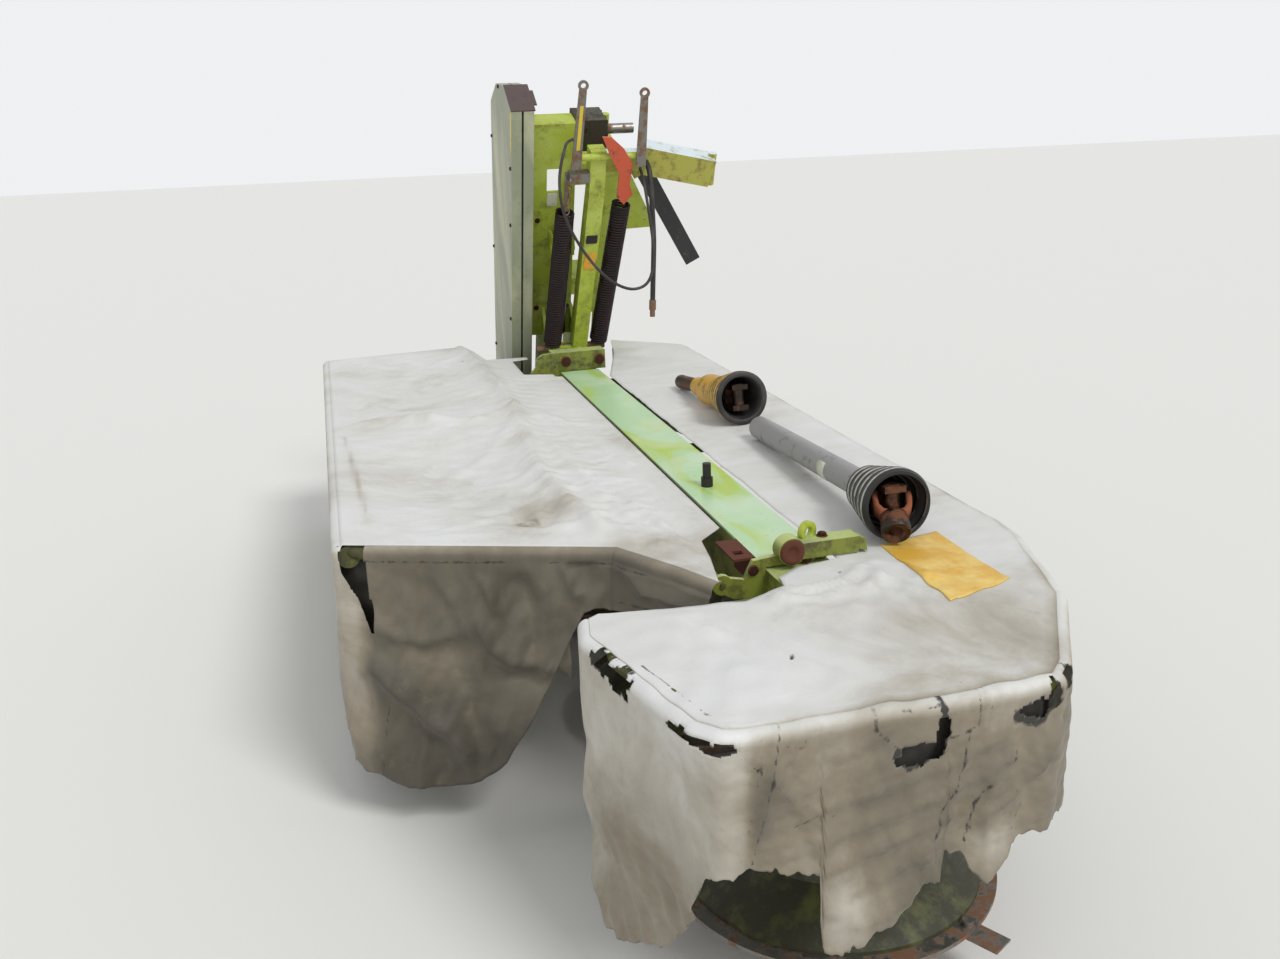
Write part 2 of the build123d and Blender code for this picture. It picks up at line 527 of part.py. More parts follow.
def headstock():
    """The hitch end: link tube and pins, link bracket, gearbox with input shaft, hooked bars and latch."""
    tube = block((330, 390), (90, 150), (290, 1000))
    for a, way in ((290, -1), (1000, 1)):
        tube += bar_between((360, 120, a), (360, 120, a + way * 90), LINK_PIN_RADIUS)
        tube += bar_between((360, 120, a), (360, 120, a + way * 8), 26)
    for a in (430, 880):
        tube += block((CARRIER_X[1], 330), (CARRIER_V[1] - 30, 140), (a, a + 70))
    tube += plate_xz([(384, 883), (462, 867), (575, 646), (426, 642), (384, 662)], (96, 106))
    PARTS["lower_link_tube"] = on_arm(tube)

    place = Pos(546, -150, 1016) * Rot(0, 13.5, 0)
    bracket = place * (Box(264, 84, 96) - Pos(0, 0, -8) * Box(300, 68, 96))
    bracket += block((284, 440), (-190, -110), (1012, 1060))
    bracket += bar_between((684, -150, 930), (684, -150, 1046), LINK_PIN_RADIUS)
    bracket += place * Pos(120, 0, 0) * Box(20, 84, 96)
    slope = math.radians(LEG_LEAN)
    along = (math.sin(slope), 0, -math.cos(slope))
    leg_place = Plane(origin=LEG_PIVOT, x_dir=(0, 1, 0), z_dir=along)
    reach = LEG_SIDE / 2
    for y in (-reach - 14, reach + 5):
        bracket += leg_place * Pos(-10, y + 4.5, 0) * Box(76, 9, 56)
    bracket += leg_place * Pos(-45, 0, 0) * Box(6, 2 * reach + 28, 56)
    bracket += leg_place * Rot(90, 0, 0) * Cylinder(9, 2 * reach + 30)
    PARTS["link_bracket"] = on_arm(bracket)
    leg = block((-reach, reach), (-reach, reach), (-24, LEG_LENGTH)) - Rot(90, 0, 0) * Cylinder(9 + RUNNING_FIT, 200)
    leg -= block((-reach + 5, reach - 5), (-reach + 5, reach - 5), (30, LEG_LENGTH - 12))
    PARTS["stand_leg"] = on_arm(leg_place * leg)

    box = block((215, 320), (-55, 60), (1030, 1140)) + bar_between((215, 0, 1085), (330, 0, 1085), 46)
    PARTS["gearbox"] = on_arm(box)
    PARTS["input_shaft"] = on_arm(bar_between((330, 0, 1085), (430, 0, 1085), INPUT_SHAFT_RADIUS))

    front = SPRING_V - 26 - 12
    for name, low, high in (("rear", (176, 1048), (191, 1330)), ("front", (400, 1048), (396, 1300))):
        bar = plate_xz([
            (low[0] - 17, low[1]), (low[0] + 17, low[1]), (high[0] + 12, high[1]), (high[0] - 12, high[1])],
            (front - 8, front))
        bar += Pos(high[0], front - 4, high[1]) * Rot(90, 0, 0) * (Cylinder(17, 8) - Cylinder(9, 8))
        bar -= Pos(high[0], front - 4, high[1]) * Rot(90, 0, 0) * Cylinder(9, 8)
        PARTS[f"hooked_bar_{name}"] = on_arm(bar)
    latch = plate_xz([
        (262, 1157), (292, 1155), (339, 1112), (371, 1057), (365, 985), (378, 948), (348, 912), (322, 940),
        (327, 1024), (289, 1096)], (front - 8, front))
    latch += bar_between((348, front, 936), (348, SPRING_V - 11.3, 936), 8)
    PARTS["spring_latch"] = on_arm(latch)


def hoses():
    """The thin control hose in its loop, and the hydraulic hose that hangs with its coupler."""
    PARTS["hose_loop"] = bent_tube(LOOP_ROUTE, 24, LOOP_HOSE_RADIUS)
    PARTS["hanging_hose"] = bent_tube(HANGING_ROUTE, 40, HANGING_HOSE_RADIUS)
    end = Vector(*HANGING_ROUTE[-1])
    below = (end - Vector(*HANGING_ROUTE[-2])).normalized()
    coupler = bar_between(end, end + below * 34, 12) + bar_between(end + below * 34, end + below * 58, 9)
    PARTS["hose_coupler"] = coupler


def main():
    """Build every piece and write one file for each."""
    cutter_beam()
    cutting_units()
    brackets()
    hinge_fork()
    rear_guard()
    outer_guard()
    drive_shaft()
    hitch_arm()
    fold_cylinder()
    springs()
    belt_cover()
    headstock()
    hoses()
    os.makedirs("parts", exist_ok=True)
    for name, shape in PARTS.items():
        export_step(Pos(*FRAME_SHIFT, 0) * shape, f"parts/{name}.step")


main()
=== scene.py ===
import math

import bpy
import numpy as np
from mathutils import Matrix, Vector


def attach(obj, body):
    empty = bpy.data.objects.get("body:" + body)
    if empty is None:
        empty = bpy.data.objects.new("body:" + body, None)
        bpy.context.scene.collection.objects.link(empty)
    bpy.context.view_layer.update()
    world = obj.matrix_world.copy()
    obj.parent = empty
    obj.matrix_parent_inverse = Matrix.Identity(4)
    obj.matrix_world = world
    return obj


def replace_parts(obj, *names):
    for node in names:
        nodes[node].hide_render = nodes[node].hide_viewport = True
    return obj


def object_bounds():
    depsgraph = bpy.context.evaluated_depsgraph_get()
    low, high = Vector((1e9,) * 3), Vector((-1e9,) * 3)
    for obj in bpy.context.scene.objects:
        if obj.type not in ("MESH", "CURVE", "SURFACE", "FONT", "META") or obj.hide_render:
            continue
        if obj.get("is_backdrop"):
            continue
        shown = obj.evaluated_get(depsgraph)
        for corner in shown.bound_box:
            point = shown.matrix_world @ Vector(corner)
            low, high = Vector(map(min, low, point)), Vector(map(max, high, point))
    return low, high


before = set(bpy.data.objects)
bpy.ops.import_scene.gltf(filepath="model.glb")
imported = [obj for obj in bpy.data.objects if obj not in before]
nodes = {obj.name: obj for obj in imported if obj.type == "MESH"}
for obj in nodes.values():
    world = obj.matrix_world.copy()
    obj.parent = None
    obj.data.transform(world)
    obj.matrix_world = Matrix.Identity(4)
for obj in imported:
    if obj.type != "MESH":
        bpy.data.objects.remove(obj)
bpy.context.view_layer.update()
scene = bpy.context.scene

# ---------------------------------------------------------------------------
# Studio: a pale floor under even, soft light, and the camera where the photographer stood, at head
# height beyond the outer end of the bar, a little behind it and looking along it.
# ---------------------------------------------------------------------------

PART_SHIFT = np.array([9.0, 21.0, 0.0])
PHOTO_WIDTH = 1280
FOCAL_PIXELS = 1150
SENSOR_MM = 36


def placed(points):
    """Points in the part source's millimetres become points of the frame, in metres."""
    return (np.asarray(points, dtype=float) + PART_SHIFT) / 1000


def camera_at(stand, heading, tilt, roll):
    """Stand a camera at a point, turned from +Y towards +X by heading, down by tilt, and rolled."""
    heading, tilt, roll = (math.radians(angle) for angle in (heading, tilt, roll))
    forward = Vector((
        math.sin(heading) * math.cos(tilt), math.cos(heading) * math.cos(tilt), -math.sin(tilt)))
    level = Vector((math.cos(heading), -math.sin(heading), 0))
    upright = level.cross(forward)
    right = math.cos(roll) * level + math.sin(roll) * upright
    up = math.cos(roll) * upright - math.sin(roll) * level
    data = bpy.data.cameras.new("photo_camera")
    data.sensor_width = SENSOR_MM
    data.lens = FOCAL_PIXELS / PHOTO_WIDTH * SENSOR_MM
    camera = bpy.data.objects.new("photo_camera", data)
    camera.matrix_world = Matrix.Translation(stand) @ Matrix((right, up, -forward)).transposed().to_4x4()
    scene.collection.objects.link(camera)
    return camera


def colour(code):
    """An sRGB hex colour as the linear values that Blender's sockets take."""
    channels = [int(code[k:k + 2], 16) / 255 for k in (1, 3, 5)]
    linear = [c / 12.92 if c <= 0.04045 else ((c + 0.055) / 1.055) ** 2.4 for c in channels]
    return (*linear, 1.0)


def feed(tree, node, inputs):
    """Give each listed input of a node its value, or link it to another node's output."""
    for socket, value in inputs.items():
        if isinstance(value, bpy.types.NodeSocket):
            tree.links.new(value, node.inputs[socket])
        else:
            node.inputs[socket].default_value = value


def add(tree, kind, inputs=None, **settings):
    """Add a node with its settings, inputs and links."""
    made = tree.nodes.new("ShaderNode" + kind)
    for name, value in settings.items():
        setattr(made, name, value)
    feed(tree, made, inputs or {})
    return made


scene.camera = camera_at(Vector(placed((-656, -3061, 1480))), heading=14.571, tilt=17.163, roll=-2.258)
scene.view_settings.view_transform = "Standard"

world = bpy.data.worlds.new("studio")
world.use_nodes = True
scene.world = world
sky = world.node_tree
path = add(sky, "LightPath").outputs
seen = add(sky, "Math", {0: path["Is Camera Ray"], 1: path["Is Glossy Ray"]}, operation="MAXIMUM").outputs[0]
glow = add(sky, "MapRange", {"Value": seen, "To Min": 0.62, "To Max": 0.95}).outputs[0]
feed(sky, sky.nodes["Background"], {"Color": colour("#f4f6f8"), "Strength": glow})

for name, strength, spread, turn in (
    ("key", 1.5, 18, (38, 22, 0)),
    ("fill", 0.35, 60, (50, -35, 0)),
):
    data = bpy.data.lights.new(name, "SUN")
    data.energy = strength
    data.angle = math.radians(spread)
    lamp = bpy.data.objects.new(name, data)
    lamp.rotation_euler = [math.radians(angle) for angle in turn]
    scene.collection.objects.link(lamp)

FLOOR_HALF = 40.0
floor_mesh = bpy.data.meshes.new("floor")
floor_mesh.from_pydata(
    [(x * FLOOR_HALF, y * FLOOR_HALF, 0) for x, y in ((-1, -1), (1, -1), (1, 1), (-1, 1))], [], [(0, 1, 2, 3)])
floor = bpy.data.objects.new("floor", floor_mesh)
scene.collection.objects.link(floor)
floor_paint = bpy.data.materials.new("studio_floor")
floor_paint.use_nodes = True
floor_tree = floor_paint.node_tree
feed(floor_tree, floor_tree.nodes["Principled BSDF"], {"Base Color": colour("#e6e5e1"), "Roughness": 0.9})
floor_mesh.materials.append(floor_paint)
floor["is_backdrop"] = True

# ---------------------------------------------------------------------------
# Hoses: the thin control hose lies in a loop on the folded arm, and the hydraulic hose hangs from the
# link bracket with its coupler. Both are cords along the part source's own points, in millimetres.
# ---------------------------------------------------------------------------

LOOP_ROUTE = [
    (232, 966.2, 1468), (229, 922, 1449.5), (188, 862, 1442), (146, 806, 1434), (126, 752, 1412),
    (104, 738, 1350), (98, 738, 1290), (106, 740, 1215), (136, 741, 1138), (182, 742, 1061), (238, 745, 993),
    (292, 748, 955), (342, 750, 940), (390, 756, 954), (414, 764, 1000), (420, 768, 1070), (414, 770, 1145),
    (406, 776, 1220), (402, 792, 1284), (404, 828, 1314), (408, 852, 1326), (410, 873.4, 1335)]
HANGING_ROUTE = [
    (430, 864.9, 1355.5), (430, 832, 1341.6), (429, 810, 1296), (429, 806, 1233), (431, 806, 1165),
    (432, 806, 1097), (429, 808, 1029), (425, 810, 961), (422, 812, 892)]


def hose_piece(name, route, radius):
    """A round hose on one NURBS spline through the places of its route."""
    curve = bpy.data.curves.new(name, "CURVE")
    curve.dimensions = "3D"
    curve.bevel_depth = 1.0
    curve.bevel_resolution = 5
    curve.use_fill_caps = True
    spline = curve.splines.new("NURBS")
    spline.points.add(len(route) - 1)
    for point, place in zip(spline.points, placed(route)):
        point.co = (*place, 1)
        point.radius = radius
    spline.order_u = 3
    spline.use_endpoint_u = True
    spline.resolution_u = 8
    piece = bpy.data.objects.new(name, curve)
    scene.collection.objects.link(piece)
    return piece


control_hose = hose_piece("control_hose", LOOP_ROUTE, 0.005)
hydraulic_hose = hose_piece("hydraulic_hose", HANGING_ROUTE, 0.009)
for piece, node in ((control_hose, "hose_loop"), (hydraulic_hose, "hanging_hose")):
    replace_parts(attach(piece, "arm"), node)

# ---------------------------------------------------------------------------
# Cutter bar: a folded steel box with gears inside, sprayed lime green and left out in the weather.
# Brackets, fork, drums and guard tubes were sprayed with it; its top plate has bleached to mint, with
# painted sky reflection on it. Painted shade darkens the enamel under the guards and on the brackets' sides.
# ---------------------------------------------------------------------------


def start_material(name):
    """A new material; returns it with its tree, its shader and its object coordinates."""
    made = bpy.data.materials.new(name)
    made.use_nodes = True
    tree = made.node_tree
    return made, tree, tree.nodes["Principled BSDF"], add(tree, "TexCoord").outputs["Object"]


def finish_nodes(material, *names):
    """Give CAD nodes their finish."""
    for name in names:
        mesh = nodes[name].data
        mesh.materials.clear()
        mesh.materials.append(material)


def patches(tree, spot, under, over, levels, scale, detail, roughness=0.5, distortion=0.0, most=1.0):
    """Lay a colour over another in noise patches: none at the first noise level, most of it from the second.

    The scale is how many patches a metre holds, so that 20 makes patches of 50 mm. Returns the mixed colour,
    the noise and the covered share.
    """
    noise = add(tree, "TexNoise", {
        "Vector": spot, "Scale": scale, "Detail": detail, "Roughness": roughness,
        "Distortion": distortion}).outputs["Fac"]
    cover = add(tree, "MapRange", {
        "Value": noise, "From Min": levels[0], "From Max": levels[1], "To Max": most}).outputs[0]
    mixed = add(tree, "Mix", {0: cover, 6: under, 7: colour(over)}, data_type="RGBA").outputs[2]
    return mixed, noise, cover


def lime_paint_material(name, fresh, chalk, dirt, dirt_share):
    """Alkyd enamel sprayed on steel: lime green, chalked pale, grimed over a share, with rust specks.

    The chalky blotches are about 200 mm across, the grime's patches 60 mm and the specks 8 mm.
    """
    made, tree, shader, spot = start_material(name)
    grimy_from = 0.62 - dirt_share * 0.3
    skin = patches(tree, spot, colour(fresh), chalk, (0.48, 0.75), 5.0, 6.0, 0.6)[0]
    skin, grime, _ = patches(
        tree, spot, skin, dirt, (grimy_from, grimy_from + 0.18), 17.0, 8.0, 0.7, most=0.85)
    skin, speck, _ = patches(tree, spot, skin, "#6a3c22", (0.68, 0.72), 120.0, 3.0, most=0.85)
    gloss = add(tree, "MapRange", {
        "Value": grime, "From Min": 0.3, "From Max": 0.7, "To Min": 0.38, "To Max": 0.72}).outputs[0]
    relief = add(tree, "Bump", {"Height": speck, "Distance": 0.0006, "Strength": 0.35}).outputs[0]
    feed(tree, shader, {"Base Color": skin, "Roughness": gloss, "Normal": relief})
    return made


def bleached_and_reflecting_top_material():
    """The same enamel facing the sun: mint and near white in long streaks, partly bleaching and partly painted
    sky reflection, with lime where it was shaded.

    The streaks are about 140 by 450 mm, the white clouds 320 mm and the scratched places 17 mm.
    """
    made, tree, shader, spot = start_material("sun_bleached_and_sky_reflecting_enamel")
    stretched = add(tree, "Mapping", {
        "Vector": spot, "Rotation": (0, 0, 0.35), "Scale": (7.0, 2.2, 4.0)}).outputs[0]
    # Mint streaks and near-white clouds: bleached paint, and painted sky reflection.
    skin = patches(tree, stretched, colour("#b4d6a6"), "#b3cc55", (0.47, 0.62), 1.0, 5.0, distortion=1.2)[0]
    skin = patches(tree, spot, skin, "#d9e6cf", (0.50, 0.68), 3.1, 3.0, most=0.8)[0]
    skin = patches(tree, spot, skin, "#8f9a6c", (0.60, 0.68), 60.0, 6.0, 0.8, most=0.5)[0]
    feed(tree, shader, {"Base Color": skin, "Roughness": 0.34})
    return made


def bracket_paint_and_light_material(name, top, side, rust, rust_from):
    """The enamel on a bracket: pale where it faces up, bleached and with painted skylight, and dirty lime
    in painted shade elsewhere; rusty above a noise level.

    The rusty patches are about 55 mm across.
    """
    made, tree, shader, spot = start_material(name)
    facing = add(tree, "SeparateXYZ", {0: add(tree, "NewGeometry").outputs["Normal"]}).outputs["Z"]
    # Up-facing faces take the pale top colour, painted skylight over bleached paint; the rest take the darker
    # side colour, painted shade.
    sunny = add(tree, "MapRange", {"Value": facing, "From Min": 0.35, "From Max": 0.75}).outputs[0]
    lower, patch, rusty = patches(
        tree, spot, colour(side), rust, (rust_from, rust_from + 0.14), 18.0, 8.0, 0.7)
    upper = add(tree, "Mix", {0: rusty, 6: colour(top), 7: colour("#9aa07a")}, data_type="RGBA").outputs[2]
    both = add(tree, "Mix", {0: sunny, 6: lower, 7: upper}, data_type="RGBA").outputs[2]
    relief = add(tree, "Bump", {"Height": patch, "Distance": 0.001, "Strength": 0.3}).outputs[0]
    feed(tree, shader, {"Base Color": both, "Roughness": 0.5, "Normal": relief})
    return made


bright_enamel = lime_paint_material("bright_lime_enamel", "#a9b83c", "#c5cd70", "#726f36", 0.36)
finish_nodes(lime_paint_material("weathered_lime_enamel", "#a3b030", "#c2cb70", "#5f5c30", 0.45), "hinge_fork")
finish_nodes(bright_enamel, "hitch_arm", "lower_link_tube")
# The guard frames and drums under the skirts get darker enamels: grime, and painted shade where the skirts
# cover them.
finish_nodes(lime_paint_material("grimed_and_shaded_lime_enamel", "#777b30", "#8c8d4a", "#3a3826", 0.85),
             "rear_guard_frame", "outer_guard_frame")
finish_nodes(lime_paint_material("grass_caked_and_shaded_enamel", "#565a2e", "#66683c", "#28261d", 0.95),
             "drum_1", "drum_2", "drum_3", "drum_4")
finish_nodes(bleached_and_reflecting_top_material(), "beam_top_plate")
# The link bracket's blue-white top and the other brackets' pale tops are painted skylight; their dark lime
# sides, and the gear beam's end, are painted shade.
finish_nodes(bracket_paint_and_light_material("bleached_and_skylit_link_enamel", "#d3dde0", "#aaa84a", "#7b5a34", 0.52),
             "link_bracket")
finish_nodes(bracket_paint_and_light_material("skylit_and_shaded_bracket_enamel", "#b3bf74", "#7a8230", "#4d4a28", 0.48),
             "gear_beam", "near_bracket", "guard_arm", "far_bracket")


def worn_steel_material(name, bright, rust, amount):
    """Bare steel: dull metal under a skin of rust that spreads from pits; amount is the rusted share.

    The rust's patches are about 45 mm across, and the pits 6 mm, coarser than real ones so that they show.
    """
    made, tree, shader, spot = start_material(name)
    rusty_from = 0.62 - amount * 0.35
    skin, _, cover = patches(
        tree, spot, colour(bright), rust, (rusty_from, rusty_from + 0.10), 22.0, 8.0, 0.7)
    pit = add(tree, "TexNoise", {"Vector": spot, "Scale": 160.0, "Detail": 4.0}).outputs["Fac"]
    metal = add(tree, "MapRange", {"Value": cover, "To Min": 0.9, "To Max": 0.1}).outputs[0]
    rough = add(tree, "MapRange", {"Value": cover, "To Min": 0.38, "To Max": 0.85}).outputs[0]
    relief = add(tree, "Bump", {"Height": pit, "Distance": 0.0008, "Strength": 0.5}).outputs[0]
    feed(tree, shader, {"Base Color": skin, "Metallic": metal, "Roughness": rough, "Normal": relief})
    return made


worn_steel = worn_steel_material("weathered_bare_steel", "#8d8a84", "#7a5a42", 0.45)
rusted_steel = worn_steel_material("rusted_mild_steel", "#6a4a3c", "#5a2e1e", 0.9)
for k in range(1, 5):
    finish_nodes(worn_steel, f"knife_ring_{k}", f"skid_{k}")
finish_nodes(rusted_steel, "latch_plate")


def black_plastic_material(name, tone):
    """Moulded polyethylene that has stood in the sun: dark, slightly greyed and matt, with a fine grain.

    The grey bloom is in patches of about 70 mm, and the grain is 3 mm, coarser than the real one to show.
    """
    made, tree, shader, spot = start_material(name)
    skin = patches(tree, spot, colour(tone), "#5c5853", (0.45, 0.75), 14.0, 6.0, most=0.5)[0]
    grain = add(tree, "TexNoise", {"Vector": spot, "Scale": 300.0, "Detail": 2.0}).outputs["Fac"]
    relief = add(tree, "Bump", {"Height": grain, "Distance": 0.0003, "Strength": 0.3}).outputs[0]
    feed(tree, shader, {"Base Color": skin, "Roughness": 0.55, "Normal": relief})
    return made


black_plastic = black_plastic_material("aged_black_polyethylene", "#1c1a19")
finish_nodes(black_plastic, "filler_plug")
finish_nodes(worn_steel, "hose_coupler")
control_hose.data.materials.append(black_plastic_material("aged_control_hose", "#2b2523"))
hydraulic_hose.data.materials.append(black_plastic_material("aged_hose_rubber", "#242120"))

# ---------------------------------------------------------------------------
# Rear guard: coated canvas laid over the tube frame, from the bar back to the rear tube, with curtains
# on three sides. It sags between the tubes, creases along them, and its near curtain hangs torn.
# ---------------------------------------------------------------------------

CLOTH_REST = 664.0
TUBE_ROUND = 20.0
CLOTH_THICKNESS = 0.0016
LAP_IN, LAP_DOWN = 8, 1.5
ROUND_STEPS = 6


def walked(line):
    """Distance walked along a line of points in plan, at each of its points."""
    return np.concatenate([[0], np.cumsum(np.hypot(*np.diff(line, axis=0).T))])


def at_distances(line, distances):
    """Points of a line at distances walked along it, straight between its own points."""
    run = walked(line)
    return np.stack([np.interp(distances, run, column) for column in line.T], axis=1)


def along(line, count):
    """A line of points in count even steps."""
    line = np.asarray(line, dtype=float)
    return at_distances(line, np.linspace(0, walked(line)[-1], count))


def ripple(x, y, wave, seed, waves=9):
    """Crumpled cloth: plane sine waves of about one wavelength, in seeded directions, added and averaged."""
    rng = np.random.default_rng(seed)
    total = 0.0 * (x + y)
    turns, scales, phases = (rng.uniform(*ends, waves) for ends in ((0, np.pi), (0.7, 1.5), (0, 6.28)))
    for turn, scale, phase in zip(turns, scales, phases):
        total += np.sin(2 * np.pi * (x * np.cos(turn) + y * np.sin(turn)) * scale / wave + phase)
    return total / math.sqrt(waves)


def bump(x, y, centre, reach):
    """A soft swelling: a bell curve round a centre, with its own reach along each way."""
    return np.exp(-((x - centre[0]) / reach[0]) ** 2 - ((y - centre[1]) / reach[1]) ** 2)


def crease(x, y, line, width):
    """A fold: one on the line of points, falling off to both sides over the width."""
    line = np.asarray(line, dtype=float)
    nearest = np.inf + 0 * (x + y)
    for start, end in zip(line[:-1], line[1:]):
        step = end - start
        share = np.clip(((x - start[0]) * step[0] + (y - start[1]) * step[1]) / (step @ step), 0, 1)
        gap = np.hypot(x - start[0] - share * step[0], y - start[1] - share * step[1])
        nearest = np.fmin(nearest, gap)
    return np.exp(-(nearest / width) ** 1.4)


def smooth(value, low, high):
    """Zero below low, one above high, and an S-curve between."""
    share = np.clip((value - low) / (high - low), 0, 1)
    return share * share * (3 - 2 * share)


def folds(x, y, rows):
    """Add up creases from rows of height, width and points."""
    return sum(height * crease(x, y, points, width) for height, width, points in rows)


def quads(index):
    """Four-cornered faces between the neighbours of a grid of point numbers."""
    return np.stack([index[:-1, :-1], index[1:, :-1], index[1:, 1:], index[:-1, 1:]], axis=-1)


def mesh_piece(name, points, faces, material):
    """A smooth piece from points in part millimetres and its faces."""
    mesh = bpy.data.meshes.new(name)
    mesh.from_pydata(placed(points), [], faces)
    mesh.materials.append(material)
    mesh.shade_smooth()
    piece = bpy.data.objects.new(name, mesh)
    scene.collection.objects.link(piece)
    return piece


def cloth_piece(name, grids, material):
    """Join grids of points, each with its soil and painted shade, its dark marks and a mask of what is whole,
    into one sheet.
    """
    points, faces, soil_and_shade_values, marks, first = [], [], [], [], 0
    for grid, soil_and_shade, mark, whole in grids:
        rows, columns = grid.shape[:2]
        squares = quads(first + np.arange(rows * columns).reshape(rows, columns))
        if whole is not None:
            squares = squares[whole[:-1, :-1] & whole[1:, :-1] & whole[1:, 1:] & whole[:-1, 1:]]
        points.append(grid.reshape(-1, 3))
        faces.append(squares.reshape(-1, 4))
        soil_and_shade_values.append((soil_and_shade + np.zeros((rows, columns))).reshape(-1))
        marks.append((mark + np.zeros((rows, columns))).reshape(-1))
        first += rows * columns
    piece = mesh_piece(name, np.concatenate(points), np.concatenate(faces), material)
    for label, values in (("soil_and_shade", soil_and_shade_values), ("mark", marks)):
        attribute = piece.data.attributes.new(label, "FLOAT", "POINT")
        attribute.data.foreach_set("value", np.concatenate(values).astype(np.float32))
    wall = piece.modifiers.new("cloth", "SOLIDIFY")
    wall.thickness = CLOTH_THICKNESS
    wall.offset = 0
    return piece


def outward_of(edge, inside):
    """Unit vectors square to an edge of points, on the side away from the inside point."""
    step = np.gradient(edge, axis=0)
    out = np.stack([step[:, 1], -step[:, 0]], axis=1) / np.linalg.norm(step, axis=1, keepdims=True)
    return out * np.where(((edge - inside) * out).sum(axis=1, keepdims=True) < 0, -1, 1)


def hang(edge, rest, outward, hem, rows, fold):
    """Hang cloth from an edge: a lap under the top cloth, a quarter round, then down to each point's hem.

    Each column starts at its edge point and its height of rest, turns over the round, and drops in even
    steps; fold takes the share of the drop and gives how far the column stands out along its direction.
    """
    turn = np.linspace(0, np.pi / 2, ROUND_STEPS)
    share = np.concatenate([np.zeros(ROUND_STEPS), np.linspace(0, 1, rows)[1:]])
    out = np.concatenate([TUBE_ROUND * np.sin(turn), np.full(rows - 1, TUBE_ROUND)])
    fall = np.concatenate([TUBE_ROUND * (1 - np.cos(turn)), np.full(rows - 1, TUBE_ROUND)])
    out[0], fall[0] = -LAP_IN, LAP_DOWN
    level = rest[:, None] - fall[None, :] - share[None, :] * (rest - TUBE_ROUND - hem)[:, None]
    push = out[None, :] + fold(share[None, :], level)
    return np.concatenate([edge[:, None, :] + push[..., None] * outward[:, None, :], level[..., None]], axis=-1)


def canvas_material():
    """Coated canvas, once white: chalky, taupe to brown-black by its soil and painted shade, and near black
    along its marks, which are cracks and also painted shade.

    Its clouds are about 280 mm across, stains 65 mm, crumples 38 mm, frays 20 mm and specks 10 mm. The weave
    is 2.4 mm, coarser than the 1 mm threads so that it shows.
    """
    made, tree, shader, spot = start_material("weathered_coated_canvas")
    soil_and_shade = add(tree, "Attribute", attribute_name="soil_and_shade").outputs["Fac"]
    mark = add(tree, "Attribute", attribute_name="mark").outputs["Fac"]
    cloud, mottle, fray, weave, crumple = (
        add(tree, "TexNoise", {
            "Vector": spot, "Scale": scale, "Detail": detail, "Roughness": roughness,
            "Distortion": distortion}).outputs["Fac"]
        for scale, detail, roughness, distortion in (
            (3.6, 9.0, 0.64, 0.5), (15.0, 10.0, 0.7, 0.0), (48.0, 10.0, 0.75, 0.0), (420.0, 2.0, 0.5, 0.0),
            (26.0, 4.0, 0.5, 0.8)))
    # The soil attribute holds real dirt, and painted shade on folds, behind tears and on the inner sheets.
    dust_and_shade = add(tree, "Math", {0: cloud, 1: 0.9, 2: soil_and_shade}, operation="MULTIPLY_ADD").outputs[0]
    depth = add(tree, "MapRange", {"Value": dust_and_shade, "From Min": 0.35, "From Max": 1.45}).outputs[0]
    tone = add(tree, "ValToRGB", {"Fac": depth})
    stops = tone.color_ramp.elements
    stops[0].position, stops[0].color = 0.0, colour("#dddddb")
    stops[1].position, stops[1].color = 1.0, colour("#4b463b")
    for place, code in ((0.16, "#d4d3ce"), (0.34, "#b3ada0"), (0.58, "#857b69"), (0.80, "#625c4e")):
        stops.new(place).color = colour(code)
    stain = add(tree, "MapRange", {
        "Value": mottle, "From Min": 0.54, "From Max": 0.70, "To Max": 0.75}).outputs[0]
    stained = add(tree, "Math", {0: stain, 1: soil_and_shade}, operation="MULTIPLY").outputs[0]
    skin = add(tree, "Mix", {0: stained, 6: tone.outputs[0], 7: colour("#6b5f4a")}, data_type="RGBA").outputs[2]
    skin = patches(tree, spot, skin, "#5b5142", (0.69, 0.76), 95.0, 5.0, 0.7, most=0.6)[0]
    ragged = add(tree, "Math", {0: fray, 1: 1.6, 2: mark}, operation="MULTIPLY_ADD").outputs[0]
    cracked = add(tree, "MapRange", {"Value": ragged, "From Min": 1.16, "From Max": 1.42}).outputs[0]
    skin = add(tree, "Mix", {0: cracked, 6: skin, 7: colour("#2e2a24")}, data_type="RGBA").outputs[2]
    fine = add(tree, "Bump", {"Height": weave, "Distance": 0.0006, "Strength": 0.35}).outputs[0]
    relief = add(tree, "Bump", {
        "Height": crumple, "Distance": 0.004, "Strength": 0.4, "Normal": fine}).outputs[0]
    feed(tree, shader, {"Base Color": skin, "Roughness": 0.62, "Sheen Weight": 0.12, "Normal": relief})
    return made


coated_canvas = canvas_material()

# Corners of the rear cloth's top, walked along its four edges, and its ridges: x, y.
REAR_INNER = [
    (-24, -1180), (0, -1060), (14, -960), (74, -900), (74, 748), (52, 756), (52, 798), (-44, 832),
    (-44, 1090), (18, 1108), (18, 1148)]
REAR_NEAR = [(-24, -1180), (-72, -1080), (-158, -932), (-240, -898), (-698, -713)]
REAR_FAR = [(18, 1148), (-130, 1160), (-150, 1330), (-178, 1474), (-698, 1416)]
REAR_RIM = [(-698, -713), (-698, 1416)]
REAR_RIDGE = [
    (-190, 1400), (-185, 1209), (-157, 644), (-167, 280), (-210, -364), (-196, -658), (-173, -808),
    (-144, -948)]
REAR_CROSS = [(-706, 292), (-560, 354), (-418, 292), (-278, 231), (-167, 280)]
REAR_FAR_FOLD = [(-700, 1430), (-650, 830), (-513, 400), (-418, 292)]
